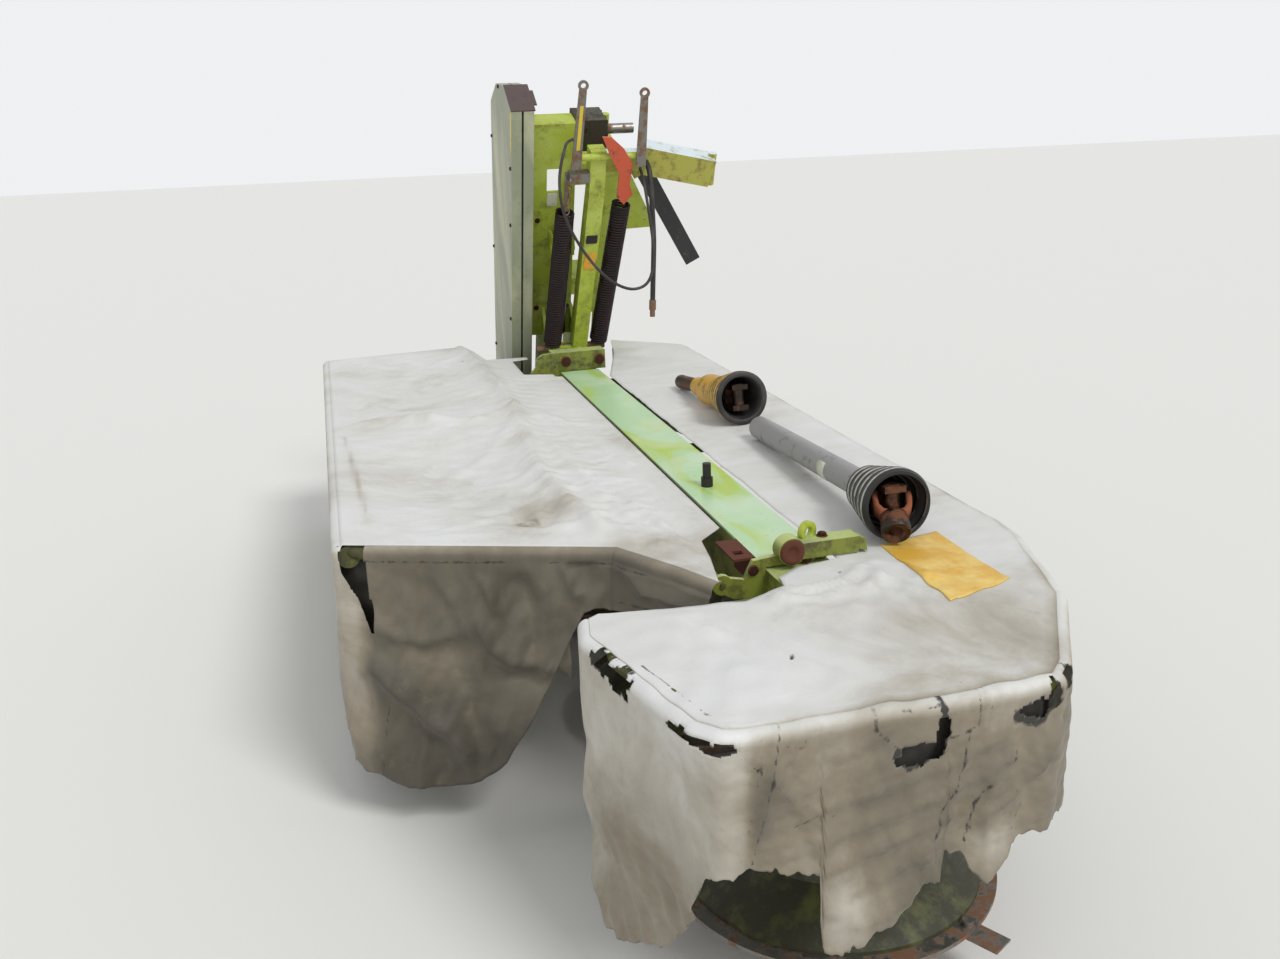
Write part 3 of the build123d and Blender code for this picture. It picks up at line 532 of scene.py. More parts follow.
# Folds of the rear cloth's top: height, width and points.
REAR_FOLDS = [
    (15, 24, REAR_RIDGE), (14, 85, REAR_RIDGE), (15, 28, REAR_CROSS), (14, 30, REAR_FAR_FOLD),
    (10, 28, [(-434, -239), (-370, -184), (-300, -99), (-198, 112)]),
    (5, 9, [(-657, 209), (-639, -155), (-626, -494), (-625, -617)]),
    (9, 20, [(-631, -600), (-541, -735), (-412, -745), (-344, -812), (-264, -862)]),
    (8, 17, [(-133, -140), (-114, -611), (-41, -1022)]),
    (7, 16, [(-90, 207), (-50, 117), (-14, -190), (15, -372)]),
    (6, 13, [(-79, -731), (-47, -843), (-22, -961)]),
    (8, 14, [(-150, 3), (-112, -283), (-85, -474), (-66, -621), (-40, -876)]),
    (6, 12, [(-240, -280), (-185, -235)]), (8, 12, [(-260, -375), (-180, -314)]),
    (8, 12, [(-262, -461), (-180, -436)]), (8, 12, [(-266, -552), (-166, -540)]),
    (8, 12, [(-310, -619), (-235, -583)]), (9, 14, [(-215, -670), (-180, -754), (-178, -867)]),
    (5, 16, [(-200, -600), (-330, -420), (-420, -380)]), (4, 14, [(-196, -640), (-380, -640), (-520, -700)]),
    (4, 18, [(-200, -300), (-330, -60), (-420, 292)]), (3, 16, [(-170, 300), (-60, 120), (40, 40)]),
    (4, 16, [(-160, 640), (-330, 620), (-500, 420)]), (3, 14, [(-190, 1250), (-400, 1180), (-600, 1300)]),
    (3, 14, [(-200, -360), (-90, -420), (40, -560)]), (3, 12, [(-204, -500), (-110, -600), (30, -800)]),
    (-5, 20, [(-150, -760), (-70, -840), (0, -960)]), (4, 14, [(-173, -808), (-60, -1000), (-30, -1120)])]


def rear_top(columns, rows):
    """The top: a Coons patch between the four edges, then a height of ridges on the tubes and sags between."""
    inner, rim = along(REAR_INNER, rows), along(REAR_RIM, rows)
    near, far = along(REAR_NEAR, columns), along(REAR_FAR, columns)
    u = np.linspace(0, 1, rows)[:, None, None]
    v = np.linspace(0, 1, columns)[None, :, None]
    flat = (1 - v) * inner[:, None] + v * rim[:, None] + (1 - u) * near[None] + u * far[None]
    flat -= (1 - u) * ((1 - v) * inner[0] + v * rim[0]) + u * ((1 - v) * inner[-1] + v * rim[-1])
    x, y = flat[..., 0], flat[..., 1]
    on_tube = np.exp(-((y - 240) / 130) ** 2)
    sag = (34 * bump(x, y, (-440, -240), (210, 360)) + 28 * bump(x, y, (-430, 820), (210, 380))) * (1 - on_tube)
    behind = smooth(-x, 130, 300)
    gathered = smooth(-x, -60, 60) * smooth(x, -260, -150) * smooth(-y, -700, 300)
    fine = ripple(0.35 * x + 0.20 * y, 0.20 * x - 0.95 * y, 60, 5) * gathered
    drawn = ripple(x + 0.14 * y, 0.10 * y, 52, 7) * smooth(-y, -700, 300) * smooth(x, -190, -110)
    pucker = bump(x, y, (-240, -690), (120, 100)) * ripple(x, y, 62, 8)
    height = folds(x, y, REAR_FOLDS) - sag + 2.2 * ripple(x, y, 420, 3) * behind
    height += 1.6 * ripple(x, y, 120, 4) * behind + 1.0 * ripple(x, y, 48, 6)
    height += 1.8 * fine + 2.0 * drawn + 7 * pucker
    frayed = smooth(v[..., 0], 0, 0.05) * smooth(1 - v[..., 0], 0, 0.10)
    ends = smooth(u[..., 0], 0, 0.05) * smooth(1 - u[..., 0], 0, 0.05)
    return np.concatenate([flat, (CLOTH_REST + height * frayed * ends)[..., None]], axis=-1)


rear_grid = rear_top(90, 250)
rear_x, rear_y = rear_grid[..., 0], rear_grid[..., 1]
# Soil of the rear top: stains and dirt, raised along the ridge and the cross fold as dirt and painted shade of
# the folds.
rear_soil_and_shade = (
    0.02 + 0.34 * bump(rear_x, rear_y, (-240, -690), (110, 100)) + 0.05 * crease(rear_x, rear_y, REAR_RIDGE, 30)
    + 0.10 * crease(rear_x, rear_y, REAR_CROSS, 40) + 0.16 * smooth(-rear_y, 850, 1000)
    + 0.10 * smooth(rear_x, -20, 60) + 0.32 * np.exp(-((np.hypot(rear_x + 303, rear_y + 723) - 18) / 8) ** 2)
    + 0.22 * crease(rear_x, rear_y, [(-668, 209), (-650, -155), (-637, -494), (-636, -617)], 6))
rear_mark = 0.30 * crease(rear_x, rear_y, [(-500, -762), (-330, -838), (-200, -894), (-140, -900)], 3)
rear_sheet = cloth_piece("rear_guard_canvas", [(rear_grid, rear_soil_and_shade, rear_mark, None)], coated_canvas)
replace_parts(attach(rear_sheet, "rear_guard"), "rear_canvas")


# The near curtain's hem, and the far one's, as x and height, and the side curtain's as y and height.
NEAR_HEM = [
    (-733, 188), (-698, 147), (-655, 134), (-610, 114), (-525, 108), (-460, 122), (-403, 171), (-344, 280),
    (-297, 375), (-261, 467), (-227, 535), (-207, 546), (-177, 533), (-103, 572), (-24, 600)]
SIDE_HEM = [(-740, 186), (-640, 122), (200, 128), (900, 118), (1430, 132)]
NEAR_FOLDS = [
    (34, 26, [(-647, 398), (-613, 359), (-583, 319), (-553, 279), (-520, 259), (-480, 200)]),
    (-22, 30, [(-600, 300), (-575, 262), (-540, 225)]),
    (26, 20, [(-434, 497), (-413, 450), (-374, 416), (-309, 400)]),
    (-16, 26, [(-420, 400), (-370, 372), (-320, 360)]),
    (15, 16, [(-634, 483), (-594, 468), (-545, 457), (-511, 466), (-468, 484)]),
    (14, 12, [(-444, 643), (-438, 607), (-419, 589), (-400, 530)]),
    (16, 13, [(-267, 630), (-256, 607), (-242, 571)]), (10, 12, [(-600, 620), (-564, 617), (-540, 605)]),
    (-22, 44, [(-500, 420), (-470, 300), (-455, 140)]), (-20, 34, [(-350, 600), (-335, 500), (-330, 400)]),
    (14, 14, [(-150, 640), (-120, 600), (-60, 610)]), (13, 18, [(-560, 250), (-575, 180), (-580, 110)]),
    (9, 12, [(-520, 600), (-480, 540), (-470, 500)])]
# The open slit of the near curtain, and its left side's x by height.
SLIT = [
    (-705, 646), (-695, 668), (-676, 672), (-657, 662), (-655, 640), (-651, 558), (-647, 474), (-644, 426),
    (-655, 483), (-680, 558), (-703, 609)]
SLIT_LEFT = [(426, -644), (483, -655), (558, -680), (609, -703), (646, -705), (668, -695)]
NEAR_COLUMNS, TURN_COLUMNS, SIDE_COLUMNS, FAR_COLUMNS, CURTAIN_ROWS = 190, 7, 230, 70, 62
FAR_START, FAR_HEM = 1400, 130.0


def inside_of(x, z, outline):
    """True where points lie inside a closed outline: an odd number of its sides lies to their right."""
    inside = np.zeros(np.broadcast(x, z).shape, dtype=bool)
    for (x0, z0), (x1, z1) in zip(outline, outline[1:] + outline[:1]):
        if z0 != z1:
            inside ^= ((z0 > z) != (z1 > z)) & (x < x0 + (z - z0) * (x1 - x0) / (z1 - z0))
    return inside


def rear_hanging():
    """The three curtains as one hanging, walked from the near tip round both rear corners to the far end."""
    near, side = along(REAR_NEAR, NEAR_COLUMNS), along(REAR_RIM, SIDE_COLUMNS)
    far = along([(-698, 1416), (-182, 1473)], FAR_COLUMNS)
    turns = np.linspace(0, 1, TURN_COLUMNS + 2)[1:-1]
    middle = np.array([-350.0, 300.0])
    near_out, far_out = outward_of(near, middle), outward_of(far, middle)
    side_out = np.tile([-1.0, 0.0], (SIDE_COLUMNS, 1))
    edges, outs = [near], [near_out]
    for low, high, corner, onwards, onward_out in (
        (near_out[-1], side_out[0], side[0], side, side_out), (side_out[-1], far_out[0], far[0], far, far_out)):
        fan = low + turns[:, None] * (high - low)
        edges += [np.tile(corner, (len(turns), 1)), onwards]
        outs += [fan / np.linalg.norm(fan, axis=1, keepdims=True), onward_out]
    edge, out = np.concatenate(edges), np.concatenate(outs)
    others = TURN_COLUMNS + SIDE_COLUMNS + FAR_COLUMNS
    face = np.concatenate([np.full(NEAR_COLUMNS, 1.0), 1 - turns, np.full(others, 0.0)])[:, None]
    x, y = edge[:, 0:1] + TUBE_ROUND * out[:, 0:1], edge[:, 1:2]
    hem = np.where(edge[:, 1] > FAR_START, FAR_HEM, np.interp(edge[:, 1], *zip(*SIDE_HEM)))
    on_near = np.arange(len(edge)) < NEAR_COLUMNS + (TURN_COLUMNS + 1) // 2
    hem = np.where(on_near, np.interp(x[:, 0], *zip(*NEAR_HEM)), hem)
    hem += 3 * ripple(x[:, 0] + edge[:, 1], 0 * hem, 36, 15)

    def fold(share, level):
        """Folds of the near face by x and height, and long soft waves of the other two faces."""
        near_push = folds(x, level, NEAR_FOLDS) + 5 * ripple(x, level, 150, 12)
        near_push += 1.6 * ripple(x, level, 46, 13) + 10 * share
        side_push = 9 * np.sin((y + x) / 118) + 9 * ripple(y + x, level * 0.5, 280, 14)
        side_push = side_push + 1.5 * ripple(y, level, 70, 16)
        return smooth(share, 0, 0.16) * (face * near_push + (1 - face) * (share * side_push + 4 * share))

    return hang(edge, np.full(len(edge), CLOTH_REST), out, hem, CURTAIN_ROWS, fold), x, face


curtain_grid, curtain_x, near_face = rear_hanging()
level = curtain_grid[..., 2]
# Soil of the curtains; its last term darkens the near face along its folds as painted shade.
curtain_soil_and_shade = (
    near_face * (0.72 + 0.14 * smooth(curtain_x, -640, -500)) + (1 - near_face) * 0.38
    + 0.30 * (1 - smooth(level, 110, 520)) - 0.34 * near_face * smooth(-curtain_x, 640, 690)
    - 0.30 * smooth(level, 646, 664) + 0.008 * near_face * folds(curtain_x, level, NEAR_FOLDS))
curtain_mark = near_face * folds(curtain_x, level, [
    (0.55, 3, [(-655, 636), (-120, 636)]), (0.6, 3, [(-629, 320), (-644, 261), (-658, 141)]),
    (0.5, 5, [(-30, 590), (-160, 560)])])
curtain_mark = curtain_mark + 0.45 * near_face * (1 - smooth(level - curtain_grid[:, -1:, 2], 0, 9))
# Points just inside the slit's left side move onto it, so that the torn edge runs smoothly.
past_edge = curtain_x - np.interp(level, *zip(*SLIT_LEFT))
snapped = (near_face > 0.5) & (past_edge > 0) & (past_edge < 4.6) & (level > 430) & (level < 640)
curtain_grid[..., 0] -= np.where(snapped, past_edge, 0)
whole = ~((near_face > 0.5) & inside_of(curtain_x, level, SLIT)) | snapped


def panel(x, level, y):
    """A grid of points from its x along the rows, its level along the columns, and its y at both."""
    return np.stack(np.broadcast_arrays(x, y, level), axis=-1)


def behind_curtain(x):
    """The y of the near face's edge by x, as the panels behind the curtain follow it."""
    return np.interp(x, [-698, -158], [-713, -932])


# A loose flap behind the near curtain's cut-away side, then the side curtain's torn edge, turned in
# behind the slit and made near black as painted shade.
flap_x = np.linspace(-405, -255, 34)[:, None]
flap_share = np.linspace(0, 1, 30)[None, :]
flap_level = 560 - flap_share * (560 - np.interp(flap_x, [-405, -360, -295, -255], [404, 392, 396, 358]))
flap_grid = panel(
    flap_x, flap_level, behind_curtain(flap_x) + 14 + 6 * ripple(flap_x, flap_level, 90, 17) * flap_share)
turned_x = np.linspace(-706, -618, 20)[:, None]
turned_level = np.linspace(652, 392, 26)[None, :]
shaded_turned_grid = panel(
    turned_x, turned_level, behind_curtain(turned_x) + 22 + 5 * ripple(turned_x, turned_level, 80, 18))
curtains = cloth_piece("rear_guard_curtains", [
    (curtain_grid, curtain_soil_and_shade, curtain_mark, whole), (flap_grid, 0.8, 0.0, None),
    (shaded_turned_grid, 1.2, 0.9, None)], coated_canvas)
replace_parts(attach(curtains, "rear_guard"),
            "rear_near_curtain", "rear_side_curtain", "rear_far_curtain")

# ---------------------------------------------------------------------------
# Outer guard: the same canvas, laced over the tube in front of the bar and round the outer drum. Its
# rim has rotted and split, its skirt hangs in rags, and a plain yellow patch is sewn on near the end.
# ---------------------------------------------------------------------------

# The two long edges of the cloth, and places on both that lie across from each other.
OUTER_RIM = [
    (398, 1352), (500, 1252), (614, 1140), (620, 1110), (620, 700), (620, -1060), (611, -1150), (511, -1441),
    (365, -1665), (330, -1698), (280, -1703), (-150, -1703), (-196, -1696), (-222, -1660), (-303, -1330),
    (-290, -1262)]
OUTER_INNER = [
    (386, 1322), (360, 1180), (334, 1064), (228, 694), (228, -1148), (190, -1152), (141, -1158), (112, -1178),
    (90, -1196), (82, -1238), (32, -1266), (-9, -1282), (-128, -1270), (-270, -1248)]
OUTER_MARKS = [
    (0, (398, 1352), (386, 1322)), (0.16, (618, 1120), (334, 1064)), (0.25, (620, 700), (228, 694)),
    (0.60, (618, -1100), (228, -1148)), (0.78, (300, -1703), (82, -1238)), (1.0, (-290, -1262), (-270, -1248))]


def by_marks(line, side, count):
    """Walk a line so that each mark on it is reached at its station, evenly between two marks."""
    line = np.asarray(line, dtype=float)
    run = walked(line)
    places = []
    for row in OUTER_MARKS:
        best = (np.inf, 0)
        for k in range(len(line) - 1):
            step = line[k + 1] - line[k]
            share = np.clip((np.array(row[side]) - line[k]) @ step / (step @ step), 0, 1)
            gap = np.linalg.norm(line[k] + share * step - row[side])
            best = min(best, (gap, run[k] + share * (run[k + 1] - run[k])))
        places.append(best[1])
    stations = [row[0] for row in OUTER_MARKS]
    return at_distances(line, np.interp(np.linspace(0, 1, count), stations, places))


def outer_height(x, y):
    """Height of the outer cloth: nearly flat in front of the bar, crumpled over the outer drum."""
    near_end = smooth(-y, 1150, 1380)
    loose = 5 * bump(x, y, (250, -1400), (260, 160)) + 2.4 * ripple(x, y, 240, 21) + 1.3 * ripple(x, y, 75, 22)
    loose += folds(x, y, [
        (34, 14, [(60, -1296), (116, -1292), (173, -1284), (218, -1240), (250, -1204), (286, -1186)]),
        (26, 15, [(246, -1206), (264, -1226), (256, -1270), (213, -1312)]),
        (18, 13, [(36, -1316), (111, -1336), (170, -1314)]),
        (14, 15, [(286, -1186), (330, -1230), (338, -1300)]),
        (9, 20, [(30, -1300), (60, -1360), (150, -1390)]),
        (5, 16, [(-160, -1300), (-60, -1450), (60, -1690)]),
        (4, 14, [(226, -1200), (330, -1420), (350, -1600)])])
    tight = -1.0 + 0.9 * ripple(x, y, 300, 23) + 0.7 * ripple(x, y, 90, 24)
    return CLOTH_REST + 1.0 + near_end * loose + (1 - near_end) * tight


OUTER_COLUMNS, OUTER_ROWS = 640, 44
outer_rim, outer_inner = by_marks(OUTER_RIM, 1, OUTER_COLUMNS), by_marks(OUTER_INNER, 2, OUTER_COLUMNS)
v = np.linspace(0, 1, OUTER_ROWS)[None, :]
outer_flat = (1 - v)[..., None] * outer_inner[:, None] + v[..., None] * outer_rim[:, None]
outer_x, outer_y = outer_flat[..., 0], outer_flat[..., 1]
outer_grid = np.concatenate([outer_flat, outer_height(outer_x, outer_y)[..., None]], axis=-1)
outer_soil = (
    0.02 + 0.20 * smooth(-outer_y, 1150, 1500) * smooth(outer_x, -100, 200)
    + 0.25 * smooth(v, 0.965, 1) * smooth(-outer_y, 1000, 1300))
outer_mark = folds(outer_x, outer_y, [
    (0.9, 6, [(-24, -1534), (-20, -1530)]), (0.5, 4, [(93, -1570), (100, -1568)]),
    (0.55, 3, [(-250, -1465), (-224, -1548), (-205, -1645), (-182, -1690)]),
    (0.5, 2.5, [(150, -1640), (172, -1659), (187, -1682), (186, -1700)]),
    (0.5, 3, [(20, -1290), (120, -1272), (226, -1200)]),
    (0.35, 2.5, [(40, -1560), (140, -1500), (230, -1480)])])
outer_sheet = cloth_piece("outer_guard_canvas", [(outer_grid, outer_soil, outer_mark, None)], coated_canvas)
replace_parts(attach(outer_sheet, "bar"), "outer_canvas")

# The skirt's hem by the place on the rim: x, y, height.
OUTER_HEM = [
    (398, 1352, 320), (614, 1140, 310), (620, 600, 300), (620, -300, 330), (620, -1000, 300),
    (590, -1210, 340), (511, -1441, 400), (440, -1550, 420), (393, -1625, 472), (356, -1672, 417),
    (311, -1703, 405), (277, -1703, 405), (253, -1703, 370), (222, -1703, 330), (190, -1703, 375),
    (175, -1703, 402), (146, -1703, 409), (143, -1703, 356), (114, -1703, 356), (88, -1703, 320),
    (44, -1703, 283), (-11, -1703, 260), (-48, -1703, 263), (-53, -1703, 342), (-57, -1703, 410),
    (-99, -1703, 422), (-161, -1703, 445), (-197, -1696, 430), (-212, -1676, 414), (-228, -1636, 310),
    (-246, -1560, 209), (-272, -1440, 140), (-290, -1380, 128), (-303, -1335, 190), (-290, -1262, 400)]
# Splits in the rim: x, y and height of the middle, then reach along the rim and in height.
OUTER_SPLITS = [
    (-284, -1400, 650, 30, 14), (-268, -1462, 644, 30, 19), (-228, -1650, 644, 34, 5),
    (-206, -1690, 640, 20, 7), (94, -1703, 584, 34, 14), (134, -1703, 614, 8, 24), (292, -1703, 624, 26, 12),
    (322, -1697, 640, 7, 20), (352, -1680, 648, 16, 15)]
# The skirt's columns stand wide apart along the front and close together round the outer drum.
FRONT_RUN, FRONT_COLUMNS, END_COLUMNS, SKIRT_ROWS = 2380, 180, 460, 60
rim_run = walked(outer_rim)
hem_at, hem_height = np.array(OUTER_HEM, dtype=float)[:, :2], [row[2] for row in OUTER_HEM]
hem_places = rim_run[[np.argmin(np.hypot(*(outer_rim - place).T)) for place in hem_at]]
hem_places = np.maximum.accumulate(hem_places + np.arange(len(hem_places)) * 0.01)
skirt_run = np.concatenate([
    np.linspace(0, FRONT_RUN, FRONT_COLUMNS), np.linspace(FRONT_RUN + 6, rim_run[-1], END_COLUMNS)])
skirt_edge = at_distances(outer_rim, skirt_run)
skirt_hem = np.interp(skirt_run, hem_places, hem_height)
ragged = 0.3 + 0.7 * smooth(-skirt_edge[:, 1], 1640, 1690)
skirt_hem += ragged * (4 * ripple(skirt_run, 0, 40, 31) + 2.5 * ripple(skirt_run, 0, 13, 32))
run = skirt_run[:, None]
corner_x, corner_y = skirt_edge[:, 0:1], skirt_edge[:, 1:2]
on_end = smooth(-corner_y, 1640, 1690)
RAG_FOLDS = [
    (8, 14, [(-132, 650), (-142, 560), (-168, 450)]), (5, 13, [(-178, 650), (-131, 583), (-79, 511)]),
    (-4, 24, [(-20, 640), (-10, 480), (-20, 280)]), (6, 13, [(-40, 340), (20, 300), (83, 330)]),
    (5, 13, [(175, 600), (162, 530), (130, 440)]), (6, 13, [(222, 520), (205, 480), (218, 350)]),
    (-5, 18, [(270, 560), (280, 470), (262, 400)]), (7, 9, [(-57, 409), (13, 428), (84, 447), (150, 470)]),
    (6, 9, [(-60, 455), (28, 483), (88, 493), (170, 520), (260, 545)]),
    (6, 8, [(-60, 520), (20, 530), (110, 545), (240, 585)]), (5, 8, [(0, 365), (60, 384), (118, 400)]),
    (6, 9, [(200, 450), (260, 480), (320, 530)]), (5, 8, [(-30, 600), (10, 612), (50, 628)])]


def rag_fold(share, level):
    """Folds of the skirt: rag by rag on the near face, and long waves along the rest."""
    waves = 10 * np.sin(run / 70) + 9 * ripple(run, level, 210, 33) + 3 * ripple(run, level, 70, 34)
    rags = folds(corner_x, level, RAG_FOLDS) + 2.2 * ripple(run, level, 60, 35) + ripple(run, level, 24, 36)
    rags = rags * (1 - 0.75 * bump(corner_x, corner_y, (-205, -1685), (45, 45)))
    return smooth(share, 0, 0.12) * ((1 - on_end) * share * waves + on_end * (rags + 4 * share) - 6 * share)


inside_guard = np.array([150.0, -1000.0])
skirt_grid = hang(
    skirt_edge, outer_height(*skirt_edge.T), outward_of(skirt_edge, inside_guard), skirt_hem, SKIRT_ROWS,
    rag_fold)
level = skirt_grid[..., 2]
torn = np.inf + 0 * level
for x, y, height, reach, tall in OUTER_SPLITS:
    place = skirt_run[np.argmin(np.hypot(corner_x[:, 0] - x, corner_y[:, 0] - y))]
    ring = np.hypot((run - place) / reach, (level - height) / tall)
    torn = np.fmin(torn, ring + 0.22 * ripple(run, level, 26, 41) + 0.12 * ripple(run, level, 9, 42))
on_left = smooth(-corner_x, 150, 175) * smooth(-corner_y, 1000, 1200)
# Soil of the skirt; its fold term darkens the rags along their folds as painted shade.
skirt_soil_and_shade = (
    0.52 + 0.22 * (1 - smooth(level, 250, 560)) - 0.24 * on_left + 0.03 * ripple(run, level, 300, 43)
    - 0.42 * smooth(level, 640, 666) + 0.16 * folds(corner_x, level, RAG_FOLDS) / 12)
# Soiled and clean places of the end face: share, and centre and reach in x and height.
for share, centre, reach in (
    (0.14, (190, 560), (170, 75)), (0.10, (-150, 560), (60, 90)),
    (-0.34, (-5, 320), (65, 75)), (-0.26, (218, 385), (45, 60)),
):
    skirt_soil_and_shade = skirt_soil_and_shade + share * on_end * bump(corner_x, level, centre, reach)
skirt_mark = folds(corner_x, level, [
    (0.55, 3, [(-118, 664), (-131, 610), (-144, 541), (-160, 455)]),
    (0.42, 2.5, [(-146, 660), (-156, 543), (-178, 455)]),
    (0.45, 2.5, [(-178, 656), (-174, 634), (-131, 583), (-79, 511)]),
    (0.5, 2.5, [(-80, 664), (-80, 649), (-85, 628), (-111, 636)]),
    (0.62, 4, [(27, 664), (27, 634), (63, 600)]),
    (0.7, 6, [(135, 664), (139, 636), (140, 602), (126, 576), (80, 563), (60, 592)]),
    (0.6, 3, [(150, 604), (194, 614), (196, 664)]), (0.55, 3, [(141, 648), (120, 656), (96, 650), (70, 658)]),
    (0.66, 3, [(175, 601), (162, 530), (134, 478), (127, 438), (133, 389)]),
    (0.7, 4, [(217, 513), (190, 481), (179, 421)]), (0.5, 2.5, [(205, 664), (214, 640), (206, 622)]),
    (0.8, 10, [(256, 616), (291, 600), (324, 628)]),
    (0.5, 2.5, [(262, 400), (276, 470), (250, 520), (262, 560)]),
    (0.5, 2.5, [(-100, 500), (-60, 520), (-20, 500)])])
# Each split gets a near black ring: its torn edge, and painted shade of the hole behind it.
skirt_mark = skirt_mark * on_end + 0.75 * (1 - smooth(torn, 1.0, 1.45))
skirt_mark = skirt_mark + 0.4 * (1 - smooth(level - skirt_grid[:, -1:, 2], 0, 9))
# The inner band of the skirt under the front tube, made near black as painted shade, that shows through the
# tears.
band_x = np.linspace(20, 338, 60)[:, None]
band_level = np.linspace(634, 540, 14)[None, :]
shade_band_grid = panel(
    band_x, band_level, -1702 + 22 * smooth(band_x, 300, 338) + 3 * ripple(band_x, band_level, 90, 45))
skirt = cloth_piece("outer_guard_skirt", [
    (skirt_grid, skirt_soil_and_shade, skirt_mark, torn > 1), (shade_band_grid, 1.2, 0.9, None)], coated_canvas)
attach(skirt, "bar")


def yellow_patch_material():
    """PVC-coated patch cloth, yellow, dusty, and bleached in blotches of about 60 mm."""
    made, tree, shader, spot = start_material("yellow_patch_cloth")
    skin, cloud, _ = patches(tree, spot, colour("#d9a83a"), "#ecd07a", (0.4, 0.7), 16.0, 7.0, 0.65)
    relief = add(tree, "Bump", {"Height": cloud, "Distance": 0.002, "Strength": 0.4}).outputs[0]
    feed(tree, shader, {"Base Color": skin, "Roughness": 0.5, "Normal": relief})
    return made


patch_corners = np.array([(335, -1116), (476, -1084), (467, -1364), (315, -1422)], dtype=float)
a = np.linspace(0, 1, 30)[:, None, None]
b = np.linspace(0, 1, 50)[None, :, None]
corner_shares = ((1 - a) * (1 - b), a * (1 - b), a * b, (1 - a) * b)
patch_flat = sum(share * corner for share, corner in zip(corner_shares, patch_corners))
patch_level = outer_height(patch_flat[..., 0], patch_flat[..., 1]) + 2.2
patch_grid = np.concatenate([patch_flat, patch_level[..., None]], axis=-1)
patch = cloth_piece("yellow_patch", [(patch_grid, 0.0, 0.0, None)], yellow_patch_material())
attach(patch, "bar")

# ---------------------------------------------------------------------------
# Drive shaft: pulled apart and laid on the outer guard. The guard tube is grey plastic, the bells are
# ribbed plastic, black on one half and old yellow on the other, with forged yokes inside.
# ---------------------------------------------------------------------------

RIB_PITCH = 0.030
BELL_LENGTH = 150


def unit(vector):
    """A vector of the same way and of length one."""
    vector = np.asarray(vector, dtype=float)
    return vector / np.linalg.norm(vector)


def plastic_material(name, tone, dirt, share):
    """Moulded plastic or chipped enamel with ground-in dirt in patches of about 40 mm, over the given share.

    The grain is 4 mm, coarser than the real one so that it shows.
    """
    made, tree, shader, spot = start_material(name)
    dirty_from = 0.66 - share * 0.3
    skin = patches(tree, spot, colour(tone), dirt, (dirty_from, dirty_from + 0.14), 24.0, 8.0, 0.7)[0]
    grain = add(tree, "TexNoise", {"Vector": spot, "Scale": 240.0, "Detail": 2.0}).outputs["Fac"]
    relief = add(tree, "Bump", {"Height": grain, "Distance": 0.0004, "Strength": 0.3}).outputs[0]
    feed(tree, shader, {"Base Color": skin, "Roughness": 0.42, "Normal": relief})
    return made


def ribbed_material(name, groove, crest, low, high, mouth, way):
    """Ribbed plastic of a bell: the crest colour between two shares of each 30 mm rib, from its small end.

    The crests are worn off in smears of about 35 mm.
    """
    made, tree, shader, spot = start_material(name)
    smear = add(tree, "TexNoise", {
        "Vector": spot, "Scale": 30.0, "Detail": 8.0, "Roughness": 0.7}).outputs["Fac"]
    station = add(tree, "VectorMath", {0: spot, 1: way}, operation="DOT_PRODUCT").outputs["Value"]
    first = float(placed(mouth - BELL_LENGTH * way) @ way)
    rib = add(tree, "Math", {0: station, 1: 1 / RIB_PITCH, 2: -first / RIB_PITCH}, operation="MULTIPLY_ADD")
    share = add(tree, "Math", {0: rib.outputs[0]}, operation="FRACT").outputs[0]
    rise = add(tree, "MapRange", {"Value": share, "From Min": low - 0.05, "From Max": low}).outputs[0]
    fall = add(tree, "MapRange", {
        "Value": share, "From Min": high, "From Max": high + 0.05, "To Min": 1.0, "To Max": 0.0}).outputs[0]
    worn = add(tree, "MapRange", {
        "Value": smear, "From Min": 0.62, "From Max": 0.45, "To Min": 0.25, "To Max": 1.0}).outputs[0]
    band = add(tree, "Math", {0: rise, 1: fall}, operation="MULTIPLY").outputs[0]
    shown = add(tree, "Math", {0: band, 1: worn}, operation="MULTIPLY").outputs[0]
    skin = add(tree, "Mix", {0: shown, 6: colour(groove), 7: colour(crest)}, data_type="RGBA").outputs[2]
    relief = add(tree, "Bump", {"Height": smear, "Distance": 0.0006, "Strength": 0.3}).outputs[0]
    feed(tree, shader, {"Base Color": skin, "Roughness": 0.45, "Normal": relief})
    return made


# Each half: where its low end's axis starts, where its bell's mouth is, and the way from one to the other.
outer_start, outer_mouth = np.array([404, -273, 696.3]), np.array([376, -1109, 741.9])
inner_start, inner_mouth = np.array([392, 394, 688.3]), np.array([412, -116, 741.9])
outer_way, inner_way = unit(outer_mouth - outer_start), unit(inner_mouth - inner_start)
greasy_iron = worn_steel_material("greasy_forged_steel", "#3b332d", "#6b4028", 0.35)
finish_nodes(plastic_material("grey_guard_tube_plastic", "#8d8b8a", "#5a5450", 0.35), "shaft_outer_tube")
finish_nodes(plastic_material("old_yellow_guard_plastic", "#c99a35", "#5a4422", 0.5), "shaft_inner_sleeve")
finish_nodes(ribbed_material("worn_black_bell", "#1c1a19", "#b9b4ac", 0.52, 0.66, outer_mouth, outer_way),
             "shaft_outer_bell")
finish_nodes(ribbed_material("yellow_and_black_bell", "#1d1915", "#d3a436", 0.40, 0.66, inner_mouth, inner_way),
             "shaft_inner_bell")
finish_nodes(greasy_iron, "shaft_outer_yoke", "shaft_inner_yoke", "shaft_inner_tube")

# ---------------------------------------------------------------------------
# Hitch arm: the folded arm with its belt cover, springs and hitch. The cover is moulded plastic,
# grey-green and bleached cream on its sunny side, with a dark cap over its upper end.
# ---------------------------------------------------------------------------


